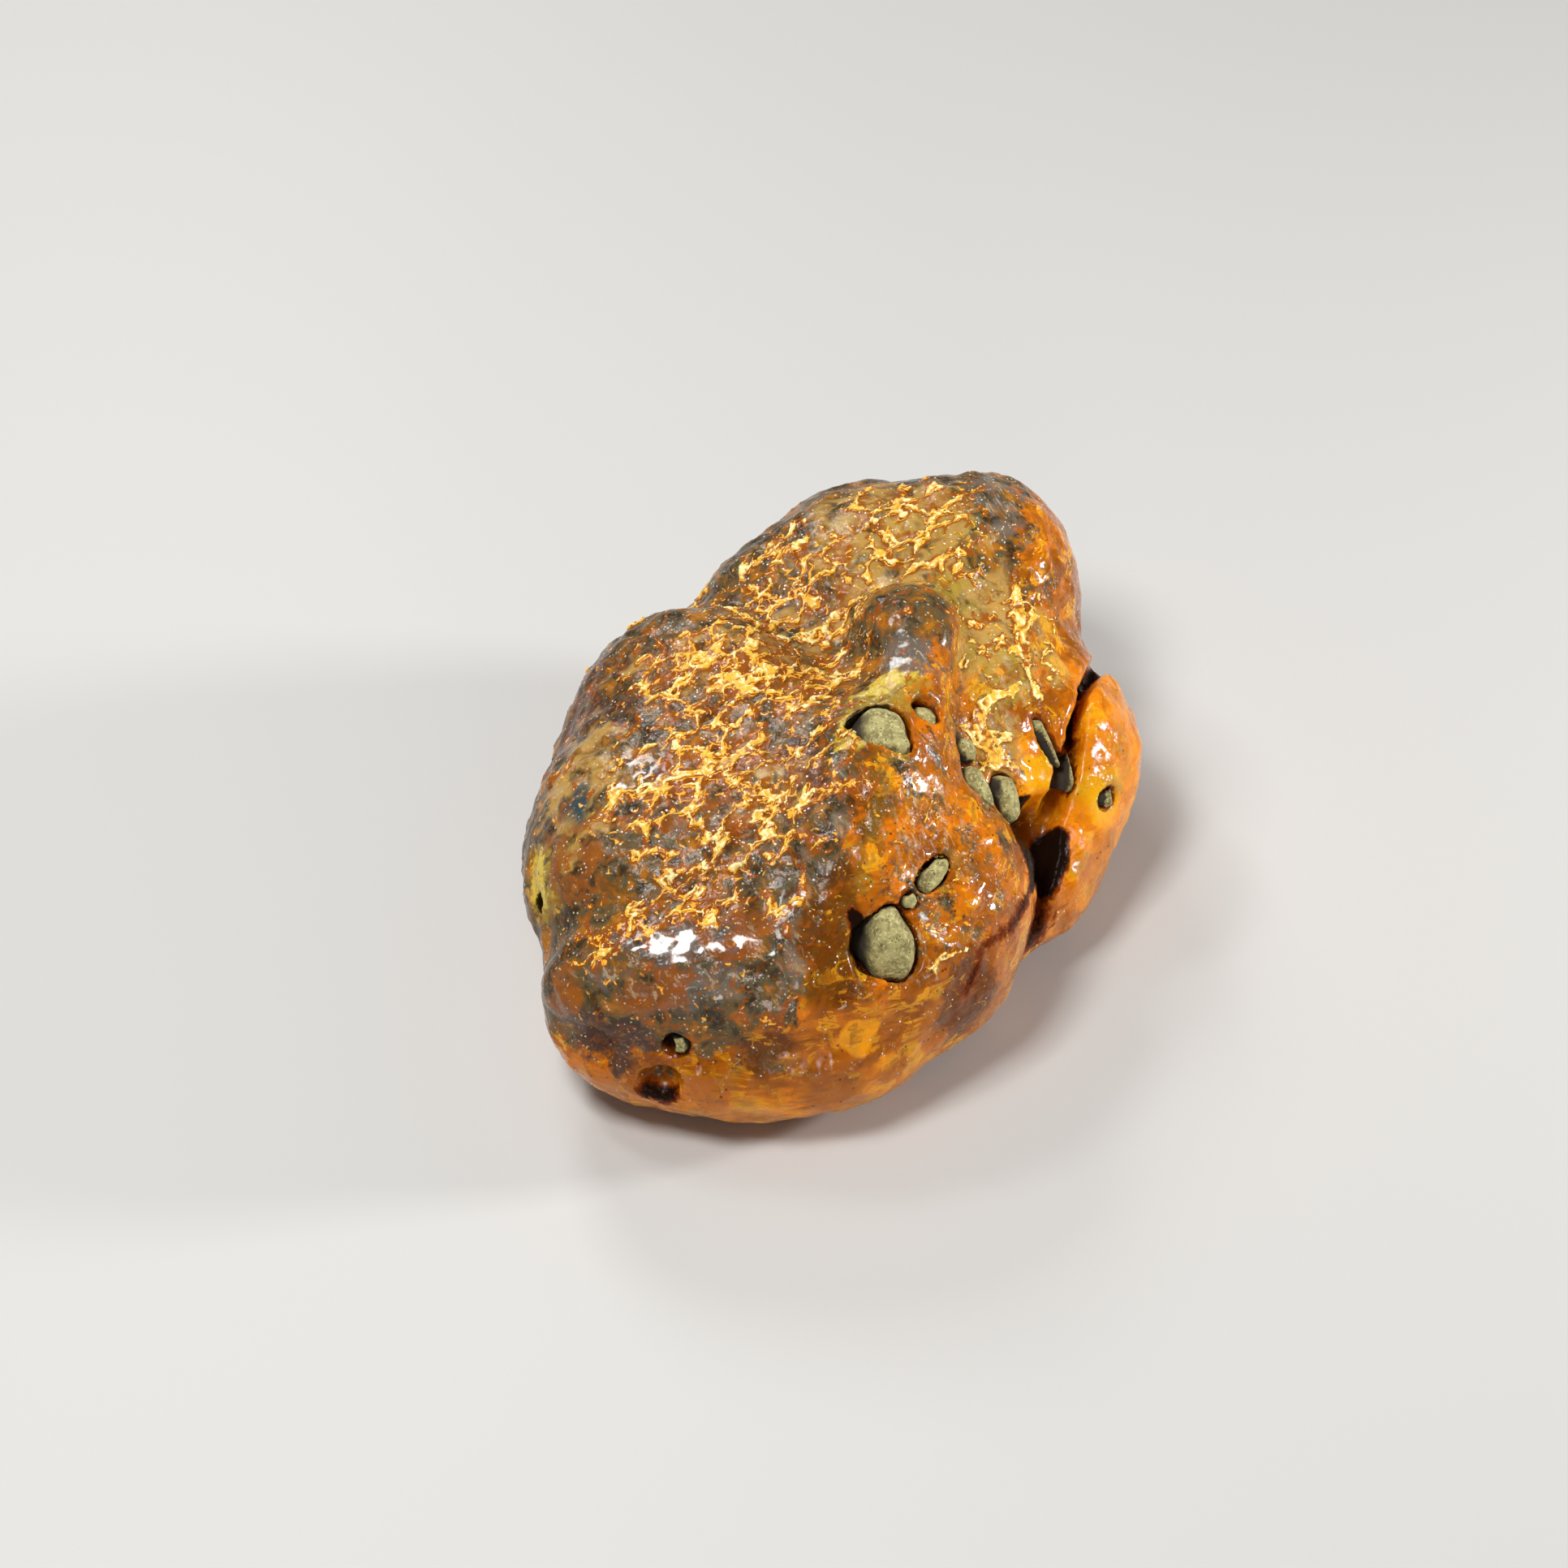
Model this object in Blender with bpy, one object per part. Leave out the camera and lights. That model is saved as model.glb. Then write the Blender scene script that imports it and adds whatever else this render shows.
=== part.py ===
"""Raw amber nugget with grey-green sediment left in its pits.

One lump of fossil resin, and the pieces of sediment that sit in its pockets, each a separate solid. The skin
is a ball drawn out onto a blend of ellipsoid lumps with furrows pressed into it. Clefts and hollows are cut
out of that and melted, and then come the pockets for the sediment and the worn face under the nugget.

Run it with blender --background --python part.py, or from Blender's text editor. Metres, +Z up. The tables
are in millimetres, from the point under the thickest of the nugget: +X is its right, +Y its far end.
"""

import math
from dataclasses import dataclass

import bmesh
import bpy
import numpy as np
from mathutils import Matrix, Vector, noise

MM = 0.001

# Driving dimensions, in millimetres
FRAME_SHIFT = (-0.35, -3.85, 0.0)  # brings the middle of the nugget's box onto the origin
HEART = (0.0, 0.0, 12.0)  # the point that every stretch of the skin can be seen from
REACH = 60.0  # further from the heart than any of the skin
BLEND = 4.0  # how far neighbouring lumps melt into each other
BASE_ROUNDING = 2.5  # radius round the worn face
BASE_WEAR = 0.25  # how much of the rounded underside is worn off flat
SEAT_GAP = 0.3  # between a pocket's wall and the sediment in it
MELT_VOXEL = 0.5  # the melted surface keeps nothing finer than this

# Shape of a pebble, as shares of its radius
LUMPINESS = 0.22
LUMP_SPREAD = 0.77

# Mesh density
SKIN_SUBDIVISIONS = 7
HOLLOW_SUBDIVISIONS = 4
MELT_PASSES = 3
THINNING = 0.062
CLEFT_SIDES = 12
CLEFT_STEPS_PER_POINT = 4


@dataclass(frozen=True)
class Lump:
    """One swelling of the resin: an ellipsoid turned by `turn` degrees about Z."""

    name: str
    centre: tuple
    radii: tuple
    turn: float = 0.0


@dataclass(frozen=True)
class Furrow:
    """A soft valley pressed into the skin along a path, from `depth` at its start to `end_depth`."""

    name: str
    path: tuple
    width: float
    depth: float
    end_depth: float


@dataclass(frozen=True)
class Cleft:
    """A crack: an oval section swept along points (x, y, z, half width), reaching `half_depth` inward."""

    name: str
    path: tuple
    inward: tuple
    half_depth: float


@dataclass(frozen=True)
class Hollow:
    """An oval pit: radii across, along and into the skin at a place that faces `facing`."""

    name: str
    place: tuple
    facing: tuple
    radii: tuple
    turn: float = 0.0


@dataclass(frozen=True)
class Sediment:
    """A pebble of sediment seated at a place on the skin, `proud` of it, with radii as for a Hollow."""

    name: str
    place: tuple
    facing: tuple
    radii: tuple
    turn: float = 0.0
    proud: float = 0.3
    subdivisions: int = 2
    seed: float = 0.0


LUMPS = (
    Lump("sole", (-1.5, 2, 6), (17, 23.5, 8.5)),
    Lump("belly", (-3, -4, 13), (21, 24, 13.5)),
    Lump("back flank", (-9, 9.5, 14.5), (14.8, 13, 12)),
    Lump("crown", (4.2, 23, 17), (12.8, 13, 12)),
    Lump("crown foot", (-4, 19, 16.5), (10, 9, 9.5)),
    Lump("crown right", (13.4, 24.8, 16.9), (9.2, 12.2, 12.2)),
    Lump("left flank", (-15, -6, 13.5), (12, 18, 10.5)),
    Lump("brow", (-12, -21.5, 13.5), (12.5, 6, 6.5)),
    Lump("toe", (-6, -20.2, 7), (14.4, 9, 7)),
    Lump("left toe", (-16.5, -19, 8), (8, 7.5, 7)),
    Lump("ridge", (5, -1, 21), (6, 20, 9), turn=-19),
    Lump("cheek", (7.5, -9, 9.5), (8.9, 11.7, 10.5)),
    Lump("lobe", (19.4, 10.1, 11.5), (8.3, 11.5, 8.8)),
    Lump("lobe foot", (16.8, 1, 7.4), (7, 9, 6.5)),
    Lump("shoulder", (14, 11, 12), (8.5, 13, 12)),
    Lump("knuckle", (6, 9.5, 27), (4.2, 4.2, 3.6)),
)

FURROWS = (
    Furrow(
        "behind the brow",
        ((-26, -17, 14), (-22.5, -18, 18), (-18, -18.5, 20.8), (-8.5, -19.5, 23), (-2, -19, 24.5)),
        2.2,
        1.5,
        0.8,
    ),
    Furrow(
        "under the brow",
        ((-23, -24, 10.5), (-13, -28, 11.5), (-3, -29, 12.5), (6, -24, 13)),
        2.0,
        0.9,
        0.6,
    ),
    Furrow("saddle", ((-12, 19, 22), (-4, 14, 26), (2, 6, 28), (4, -1, 29)), 3.2, 1.6, 1.2),
    Furrow(
        "shoulder gutter",
        ((16, 23, 28), (12.8, 10, 26.5), (11.5, 2, 26), (13, -3.5, 22), (16.5, -5, 18)),
        2.0,
        1.0,
        1.8,
    ),
    Furrow("ridge gutter", ((4.5, -11, 28.5), (3, -17, 25.5), (1, -23, 21.5), (0, -28, 15)), 1.6, 1.1, 0.8),
    Furrow("far fold", ((-14, 23, 21), (-12, 29, 15), (-8, 32, 6)), 2.4, 1.0, 1.4),
    Furrow("crown fold", ((1, 36, 25), (4, 37.5, 16), (6, 34, 6)), 2.2, 0.6, 1.2),
    Furrow("left fold", ((-24, 5, 20), (-26, 2, 13), (-21, 4, 4)), 2.0, 0.6, 1.1),
    Furrow("right fold", ((24, 20, 14), (19, 27, 8), (12, 33, 5)), 2.4, 1.2, 0.9),
)

CLEFTS = (
    Cleft(
        "lobe",
        (
            (24, 18, 15.5, 0.9),
            (22.2, 9.5, 19.5, 0.7),
            (21, 2, 18, 1.0),
            (19.2, -4.5, 14.5, 1.3),
            (18.6, -9, 11.5, 0.9),
            (17, -14, 7, 0.4),
        ),
        (-0.45, 0.1, -0.89),
        4.5,
    ),
    Cleft(
        "lower crack",
        ((13, -17, 16.5, 0.3), (13.3, -20, 13.5, 0.6), (13.5, -20.5, 9.5, 0.3)),
        (-0.75, 0.6, -0.1),
        1.8,
    ),
    Cleft(
        "left fissure",
        ((-25.5, -7, 18, 0.3), (-25.6, -11.5, 16, 0.6), (-24.8, -15, 13, 0.3)),
        (0.85, 0.3, -0.3),
        1.5,
    ),
)

HOLLOWS = (
    Hollow("lobe cavity", (18.6, -4.8, 14.6), (0.75, -0.35, 0.55), (2.6, 4.0, 6), -46),
    Hollow("lower plug recess", (3.0, -23.8, 19.8), (0.35, -0.65, 0.67), (1.2, 3.1, 2.8), -18),
    Hollow("front pit", (-20, -26.5, 10.8), (-0.45, -0.9, 0), (1.3, 2.4, 1.4), 35),
    Hollow("toe pit", (-14.8, -27.9, 8.2), (-0.15, -0.98, -0.1), (2.2, 1.5, 1.6)),
    Hollow("far pit", (-6, 33.8, 14), (-0.3, 0.95, -0.1), (2.4, 1.6, 1.8), 20),
    Hollow("far dimple", (9, 36.2, 17), (0.1, 1, 0), (1.6, 2.8, 1.5), -30),
    Hollow("left pit", (-24.6, 8, 11), (-0.95, 0.25, -0.15), (1.5, 2.6, 1.5), 15),
    Hollow("right pit", (21.5, 25, 11.5), (0.9, 0.4, -0.2), (1.8, 1.4, 1.6)),
)

SEDIMENT = (
    Sediment("plug_upper", (4.3, -5.6, 29), (0.2, -0.1, 0.97), (2.3, 2.6, 2.4), 0, 0.7, 3, 1.0),
    Sediment("chip_upper", (7.8, -2.2, 27.2), (0.33, -0.21, 0.92), (1.2, 1.3, 1.2), 30, 0.3, 2, 5.0),
    Sediment("plug_lower", (5.2, -22.9, 19.5), (0.4, -0.64, 0.66), (2.3, 3.2, 2.8), -15, 0.6, 3, 2.0),
    Sediment("bead", (6.4, -19.4, 21.4), (0.4, -0.49, 0.77), (0.6, 0.55, 0.6), 0, 0.25, 2, 8.0),
    Sediment("seam", (8.7, -16.4, 21.8), (0.45, -0.38, 0.81), (0.8, 2.1, 1.0), -80, 0.2, 2, 3.0),
    Sediment("plug_crevice_right", (15.6, -3.4, 19.1), (0.7, -0.2, 0.68), (1.25, 2.1, 1.6), -35, 0.4, 3, 4.0),
    Sediment("plug_crevice_left", (13.0, -5.0, 21.9), (0.66, -0.2, 0.72), (0.9, 2.1, 1.3), -25, 0.2, 2, 6.0),
    Sediment("chip_crevice", (11.9, -2.1, 23.4), (0.7, -0.2, 0.67), (0.7, 1.2, 0.9), -30, 0.2, 2, 7.0),
    Sediment("sliver_shoulder", (18.9, 2.9, 19.8), (0.51, -0.46, 0.73), (0.45, 2.5, 0.8), -6, 0.15, 2, 9.0),
    Sediment("sliver_cleft", (21, 2.6, 17.2), (0.45, -0.1, 0.89), (0.4, 2.1, 1.1), -70, 0.0, 2, 10.0),
    Sediment("plug_front", (-13.3, -27.6, 12.1), (-0.11, -0.98, 0.14), (0.85, 0.85, 0.9), 0, 0.3, 2, 11.0),
    Sediment("chip_left", (-24.8, -12.7, 15), (-0.72, -0.68, 0.14), (0.5, 1.15, 0.8), -10, 0.2, 2, 12.0),
    Sediment("speck_lobe", (24.4, 1.6, 14.2), (0.76, -0.48, 0.45), (0.8, 0.6, 0.7), 0, 0.25, 2, 13.0),
)


def segment_distance(points, start, end):
    """Distance of each point from a line segment, and how far along it the nearest place is, from 0 to 1."""
    start, end = np.array(start, float), np.array(end, float)
    run = end - start
    along = np.clip(((points - start) @ run) / (run @ run), 0, 1)
    return np.linalg.norm(points - start - along[:, None] * run, axis=1), along


def furrow_cut(points, furrow):
    """How much of the skin a furrow takes off at each point."""
    steps = len(furrow.path) - 1
    nearest = np.full(len(points), np.inf)
    share = np.zeros(len(points))
    for index in range(steps):
        distance, along = segment_distance(points, furrow.path[index], furrow.path[index + 1])
        closer = distance < nearest
        nearest = np.where(closer, distance, nearest)
        share = np.where(closer, (index + along) / steps, share)
    depth = furrow.depth + (furrow.end_depth - furrow.depth) * share
    return depth * np.exp(-((nearest / furrow.width) ** 2))


def lump_distance(points, lump):
    """Signed distance of each point from an ellipsoid, near enough for blending."""
    local = (points - np.array(lump.centre)) @ np.array(Matrix.Rotation(math.radians(lump.turn), 3, "Z"))
    radii = np.array(lump.radii)
    outward = np.linalg.norm(local / radii, axis=1)
    slope = np.linalg.norm(local / radii**2, axis=1)
    return outward * (outward - 1) / np.maximum(slope, 1e-9)


def smooth_union(a, b, blend):
    """The lower of two distances, melted into each other over `blend`."""
    mix = np.maximum(blend - np.abs(a - b), 0) / blend
    return np.minimum(a, b) - mix * mix * blend / 4


def nugget_distance(points):
    """Signed distance of each point, in millimetres, from the nugget's skin."""
    distance = lump_distance(points, LUMPS[0])
    for lump in LUMPS[1:]:
        distance = smooth_union(distance, lump_distance(points, lump), BLEND)
    for furrow in FURROWS:
        distance = distance + furrow_cut(points, furrow)
    return -smooth_union(-distance, points[:, 2] + BASE_WEAR, BASE_ROUNDING)


def skin_points(directions):
    """Where rays that leave the heart in these directions meet the skin, in millimetres."""
    heart = np.array(HEART)
    step = REACH / 120
    reach = np.full(len(directions), REACH)
    found = np.zeros(len(directions), bool)
    while not found.all() and reach.max() > step:
        active = ~found
        reach[active] -= step
        inside = nugget_distance(heart + directions[active] * reach[active, None]) < 0
        found[np.flatnonzero(active)[inside]] = True
    low, high = reach, reach + step
    for _ in range(12):
        middle = (low + high) / 2
        inside = nugget_distance(heart + directions * middle[:, None]) < 0
        low = np.where(inside, middle, low)
        high = np.where(inside, high, middle)
    return heart + directions * low[:, None]


def clear_scene():
    """Removes every object the file opened with."""
    for obj in list(bpy.data.objects):
        bpy.data.objects.remove(obj)


def resin_material():
    """Dark honey resin."""
    material = bpy.data.materials.new("amber")
    material.use_nodes = True
    shader = material.node_tree.nodes["Principled BSDF"]
    shader.inputs["Base Color"].default_value = (0.42, 0.16, 0.03, 1)
    shader.inputs["Roughness"].default_value = 0.2
    shader.inputs["Metallic"].default_value = 0
    return material


def sediment_material():
    """Dry grey-green silt."""
    material = bpy.data.materials.new("sediment")
    material.use_nodes = True
    shader = material.node_tree.nodes["Principled BSDF"]
    shader.inputs["Base Color"].default_value = (0.19, 0.18, 0.1, 1)
    shader.inputs["Roughness"].default_value = 0.9
    shader.inputs["Metallic"].default_value = 0
    return material


def link(name, mesh, parent, material=None):
    """An object with this mesh in the scene, parented to the nugget's frame."""
    obj = bpy.data.objects.new(name, mesh)
    bpy.context.scene.collection.objects.link(obj)
    obj.parent = parent
    if material:
        mesh.materials.append(material)
    return obj


def hide_cutter(cutter, group):
    """Puts a cutter in its group and leaves it out of the model."""
    bpy.context.scene.collection.objects.unlink(cutter)
    group.objects.link(cutter)
    cutter.hide_render = True
    cutter.display_type = "WIRE"


def seat_matrix(place, facing, turn=0.0):
    """A frame at a place on the skin, with its Z out of the skin, turned by `turn` degrees about it."""
    facing_out = Vector(facing).normalized().to_track_quat("Z", "Y").to_matrix().to_4x4()
    return Matrix.Translation(Vector(place) * MM) @ facing_out @ Matrix.Rotation(math.radians(turn), 4, "Z")


def skin_mesh():
    """A ball of triangles drawn out from the heart onto the blended lumps."""
    shape = bmesh.new()
    bmesh.ops.create_icosphere(shape, subdivisions=SKIN_SUBDIVISIONS, radius=1.0)
    directions = np.array([vert.co.normalized() for vert in shape.verts])
    for vert, place in zip(shape.verts, skin_points(directions)):
        vert.co = Vector(place) * MM
    mesh = bpy.data.meshes.new("amber_nugget")
    shape.to_mesh(mesh)
    shape.free()
    mesh.shade_smooth()
    return mesh


def smooth_path(points, steps):
    """Points along a Catmull-Rom curve through the given ones, `steps` for each stretch between two."""
    rows = [np.array(point, float) for point in points]
    rows = [2 * rows[0] - rows[1], *rows, 2 * rows[-1] - rows[-2]]
    curve = []
    for before, start, end, after in zip(rows, rows[1:], rows[2:], rows[3:]):
        for step in range(steps):
            t = step / steps
            bend = (2 * before - 5 * start + 4 * end - after) * t * t
            twist = (3 * start - before - 3 * end + after) * t**3
            curve.append((2 * start + (end - before) * t + bend + twist) / 2)
    curve.append(rows[-2])
    return curve


def cleft_mesh(cleft):
    """An oval tube swept along the cleft's path, deep along `inward` and as wide as the path says."""
    rows = smooth_path(cleft.path, CLEFT_STEPS_PER_POINT)
    inward = Vector(cleft.inward).normalized()
    shape = bmesh.new()
    rings = []
    for index, row in enumerate(rows):
        ahead = rows[min(index + 1, len(rows) - 1)][:3] - rows[max(index - 1, 0)][:3]
        across = Vector(ahead).cross(inward).normalized()
        taper = math.sqrt(math.sin(math.pi * (index + 0.7) / (len(rows) + 0.4)))
        ring = []
        for side in range(CLEFT_SIDES):
            turn = 2 * math.pi * side / CLEFT_SIDES
            offset = across * math.cos(turn) * row[3] + inward * math.sin(turn) * cleft.half_depth * taper
            ring.append(shape.verts.new((Vector(row[:3]) + offset) * MM))
        rings.append(ring)
    for ring, following in zip(rings, rings[1:]):
        for side in range(CLEFT_SIDES):
            beside = (side + 1) % CLEFT_SIDES
            shape.faces.new((ring[side], ring[beside], following[beside], following[side]))
    shape.faces.new(rings[0][::-1])
    shape.faces.new(rings[-1])
    bmesh.ops.recalc_face_normals(shape, faces=shape.faces)
    mesh = bpy.data.meshes.new(cleft.name)
    shape.to_mesh(mesh)
    shape.free()
    return mesh


def pebble_mesh(name, radii, subdivisions, seed=0.0, swell=0.0, mouth=0.0):
    """A lumpy ball in its seat's frame, `swell` larger all round and drawn `mouth` out through the skin."""
    shape = bmesh.new()
    bmesh.ops.create_icosphere(shape, subdivisions=subdivisions, radius=1.0)
    for vert in shape.verts:
        out = vert.co.normalized()
        lumpy = 1 + LUMPINESS * noise.noise(out / LUMP_SPREAD + Vector((seed, 0, 0)))
        vert.co = Vector([part * radius for part, radius in zip(out, radii)]) * lumpy + out * swell
        if out.z > 0.01:
            vert.co.z += mouth
    for vert in shape.verts:
        vert.co *= MM
    mesh = bpy.data.meshes.new(name)
    shape.to_mesh(mesh)
    shape.free()
    mesh.shade_smooth()
    return mesh


def add_cut(nugget, name, group):
    """Takes every cutter of a group out of the nugget."""
    cut = nugget.modifiers.new(name, "BOOLEAN")
    cut.operation = "DIFFERENCE"
    cut.solver = "EXACT"
    cut.operand_type = "COLLECTION"
    cut.collection = group


def new_group(name):
    """A collection in the scene that holds cutters."""
    group = bpy.data.collections.new(name)
    bpy.context.scene.collection.children.link(group)
    return group


def cut_clefts(nugget, frame):
    """Cuts the clefts and hollows, and melts their edges."""
    group = new_group("cleft_cutters")
    for cleft in CLEFTS:
        hide_cutter(link("cut_" + cleft.name.replace(" ", "_"), cleft_mesh(cleft), frame), group)
    for hollow in HOLLOWS:
        mesh = pebble_mesh(hollow.name, hollow.radii, HOLLOW_SUBDIVISIONS)
        cutter = link("cut_" + hollow.name.replace(" ", "_"), mesh, frame)
        cutter.matrix_local = seat_matrix(hollow.place, hollow.facing, hollow.turn)
        hide_cutter(cutter, group)
    add_cut(nugget, "clefts", group)
    melt = nugget.modifiers.new("melt", "REMESH")
    melt.mode = "VOXEL"
    melt.voxel_size = MELT_VOXEL * MM
    melt.use_smooth_shade = True
    ease = nugget.modifiers.new("ease", "SMOOTH")
    ease.factor = 0.5
    ease.iterations = MELT_PASSES
    thin = nugget.modifiers.new("thin_out", "DECIMATE")
    thin.ratio = THINNING


def add_sediment(nugget, frame):
    """Seats each pebble of sediment in a pocket that keeps clear of it all round."""
    group = new_group("pocket_cutters")
    silt = sediment_material()
    for piece in SEDIMENT:
        seat = seat_matrix(piece.place, piece.facing, piece.turn)
        seat = seat @ Matrix.Translation((0, 0, (piece.proud - piece.radii[2]) * MM))
        shape = (piece.radii, piece.subdivisions, piece.seed)
        pebble = link(piece.name, pebble_mesh(piece.name, *shape), frame, silt)
        pebble.matrix_local = seat
        pocket_name = "pocket_" + piece.name
        mouth = 2 * piece.radii[2]
        pocket = link(pocket_name, pebble_mesh(pocket_name, *shape, SEAT_GAP, mouth), frame)
        pocket.matrix_local = seat
        hide_cutter(pocket, group)
    add_cut(nugget, "pockets", group)


def wear_base(nugget, frame):
    """Takes the underside off at Z = 0, for the flat face that the nugget rests on."""
    group = new_group("base_cutters")
    shape = bmesh.new()
    bmesh.ops.create_cube(shape, size=2 * REACH * MM)
    mesh = bpy.data.meshes.new("worn_base")
    shape.to_mesh(mesh)
    shape.free()
    block = link("cut_worn_base", mesh, frame)
    block.location.z = -REACH * MM
    hide_cutter(block, group)
    add_cut(nugget, "worn_base", group)


def main():
    clear_scene()
    frame = bpy.data.objects.new("nugget_frame", None)
    bpy.context.scene.collection.objects.link(frame)
    frame.location = Vector(FRAME_SHIFT) * MM
    nugget = link("amber_nugget", skin_mesh(), frame, resin_material())
    cut_clefts(nugget, frame)
    add_sediment(nugget, frame)
    wear_base(nugget, frame)


if __name__ == "__main__":
    main()
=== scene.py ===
"""Dresses the raw amber nugget and the sediment in its pits, on a pale floor under soft light.

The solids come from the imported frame, in metres. The skin of the nugget is remeshed from its solid, eased and
worked over with lumps, cells and folds, and its finish reads masks that are stored on that mesh. Sizes in the
tables are millimetres in the frame's own axes: +X right, +Y away, +Z up.
"""

from __future__ import annotations

import logging
import math
from dataclasses import dataclass, field
from enum import Enum
from typing import Any, Sequence, Union

import bpy
import numpy as np
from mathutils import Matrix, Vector, kdtree


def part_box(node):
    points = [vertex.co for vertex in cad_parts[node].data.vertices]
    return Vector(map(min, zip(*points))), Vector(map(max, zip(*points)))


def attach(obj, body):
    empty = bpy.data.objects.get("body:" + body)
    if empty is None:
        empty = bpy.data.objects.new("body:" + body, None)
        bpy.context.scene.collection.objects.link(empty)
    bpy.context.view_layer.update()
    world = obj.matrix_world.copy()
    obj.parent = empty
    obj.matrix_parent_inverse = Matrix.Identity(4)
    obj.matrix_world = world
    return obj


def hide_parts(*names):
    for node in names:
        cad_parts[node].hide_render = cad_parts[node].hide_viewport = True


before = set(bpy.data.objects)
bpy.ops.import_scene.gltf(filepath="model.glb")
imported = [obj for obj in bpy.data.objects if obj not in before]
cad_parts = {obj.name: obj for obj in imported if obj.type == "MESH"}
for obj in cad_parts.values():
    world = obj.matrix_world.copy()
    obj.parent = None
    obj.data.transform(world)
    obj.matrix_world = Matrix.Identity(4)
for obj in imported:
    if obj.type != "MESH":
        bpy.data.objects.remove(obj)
MM = 0.001
LOG = logging.getLogger("amber")

Colour = tuple[float, float, float]
Point = tuple[float, float, float]
Value = Union["Wire", float, int]
Array = np.ndarray


# ---- Shader maths ----


@dataclass
class Wire:
    """The output socket of a shader node. Arithmetic on it adds the Math nodes."""

    graph: Graph
    socket: bpy.types.NodeSocket

    def __add__(self, other: Value) -> Wire:
        """Adds a value."""
        return self.graph.maths("ADD", self, other)

    def __sub__(self, other: Value) -> Wire:
        """Takes a value off."""
        return self.graph.maths("SUBTRACT", self, other)

    def __rsub__(self, other: Value) -> Wire:
        """Takes this off a value."""
        return self.graph.maths("SUBTRACT", other, self)

    def __mul__(self, other: Value) -> Wire:
        """Multiplies by a value."""
        return self.graph.maths("MULTIPLY", self, other)

    __radd__ = __add__
    __rmul__ = __mul__

    def rise(self, start: float, end: float) -> Wire:
        """A soft step of this value.

        Args:
            start: where the step is still 0.
            end: where it has reached 1. It may be below `start`, for a step that falls.

        Returns:
            The step, from 0 to 1.
        """
        settings = {"interpolation_type": "SMOOTHSTEP", "clamp": True}
        inputs = {"Value": self, "From Min": start, "From Max": end}
        return self.graph.node("ShaderNodeMapRange", settings, inputs)


class Cells(Enum):
    """What a pattern of random cells gives: the feature that it measures, and the output that holds it."""

    SPOTS = ("F1", "Distance")
    WALLS = ("DISTANCE_TO_EDGE", "Distance")
    PLATES = ("F1", "Color")


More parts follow.
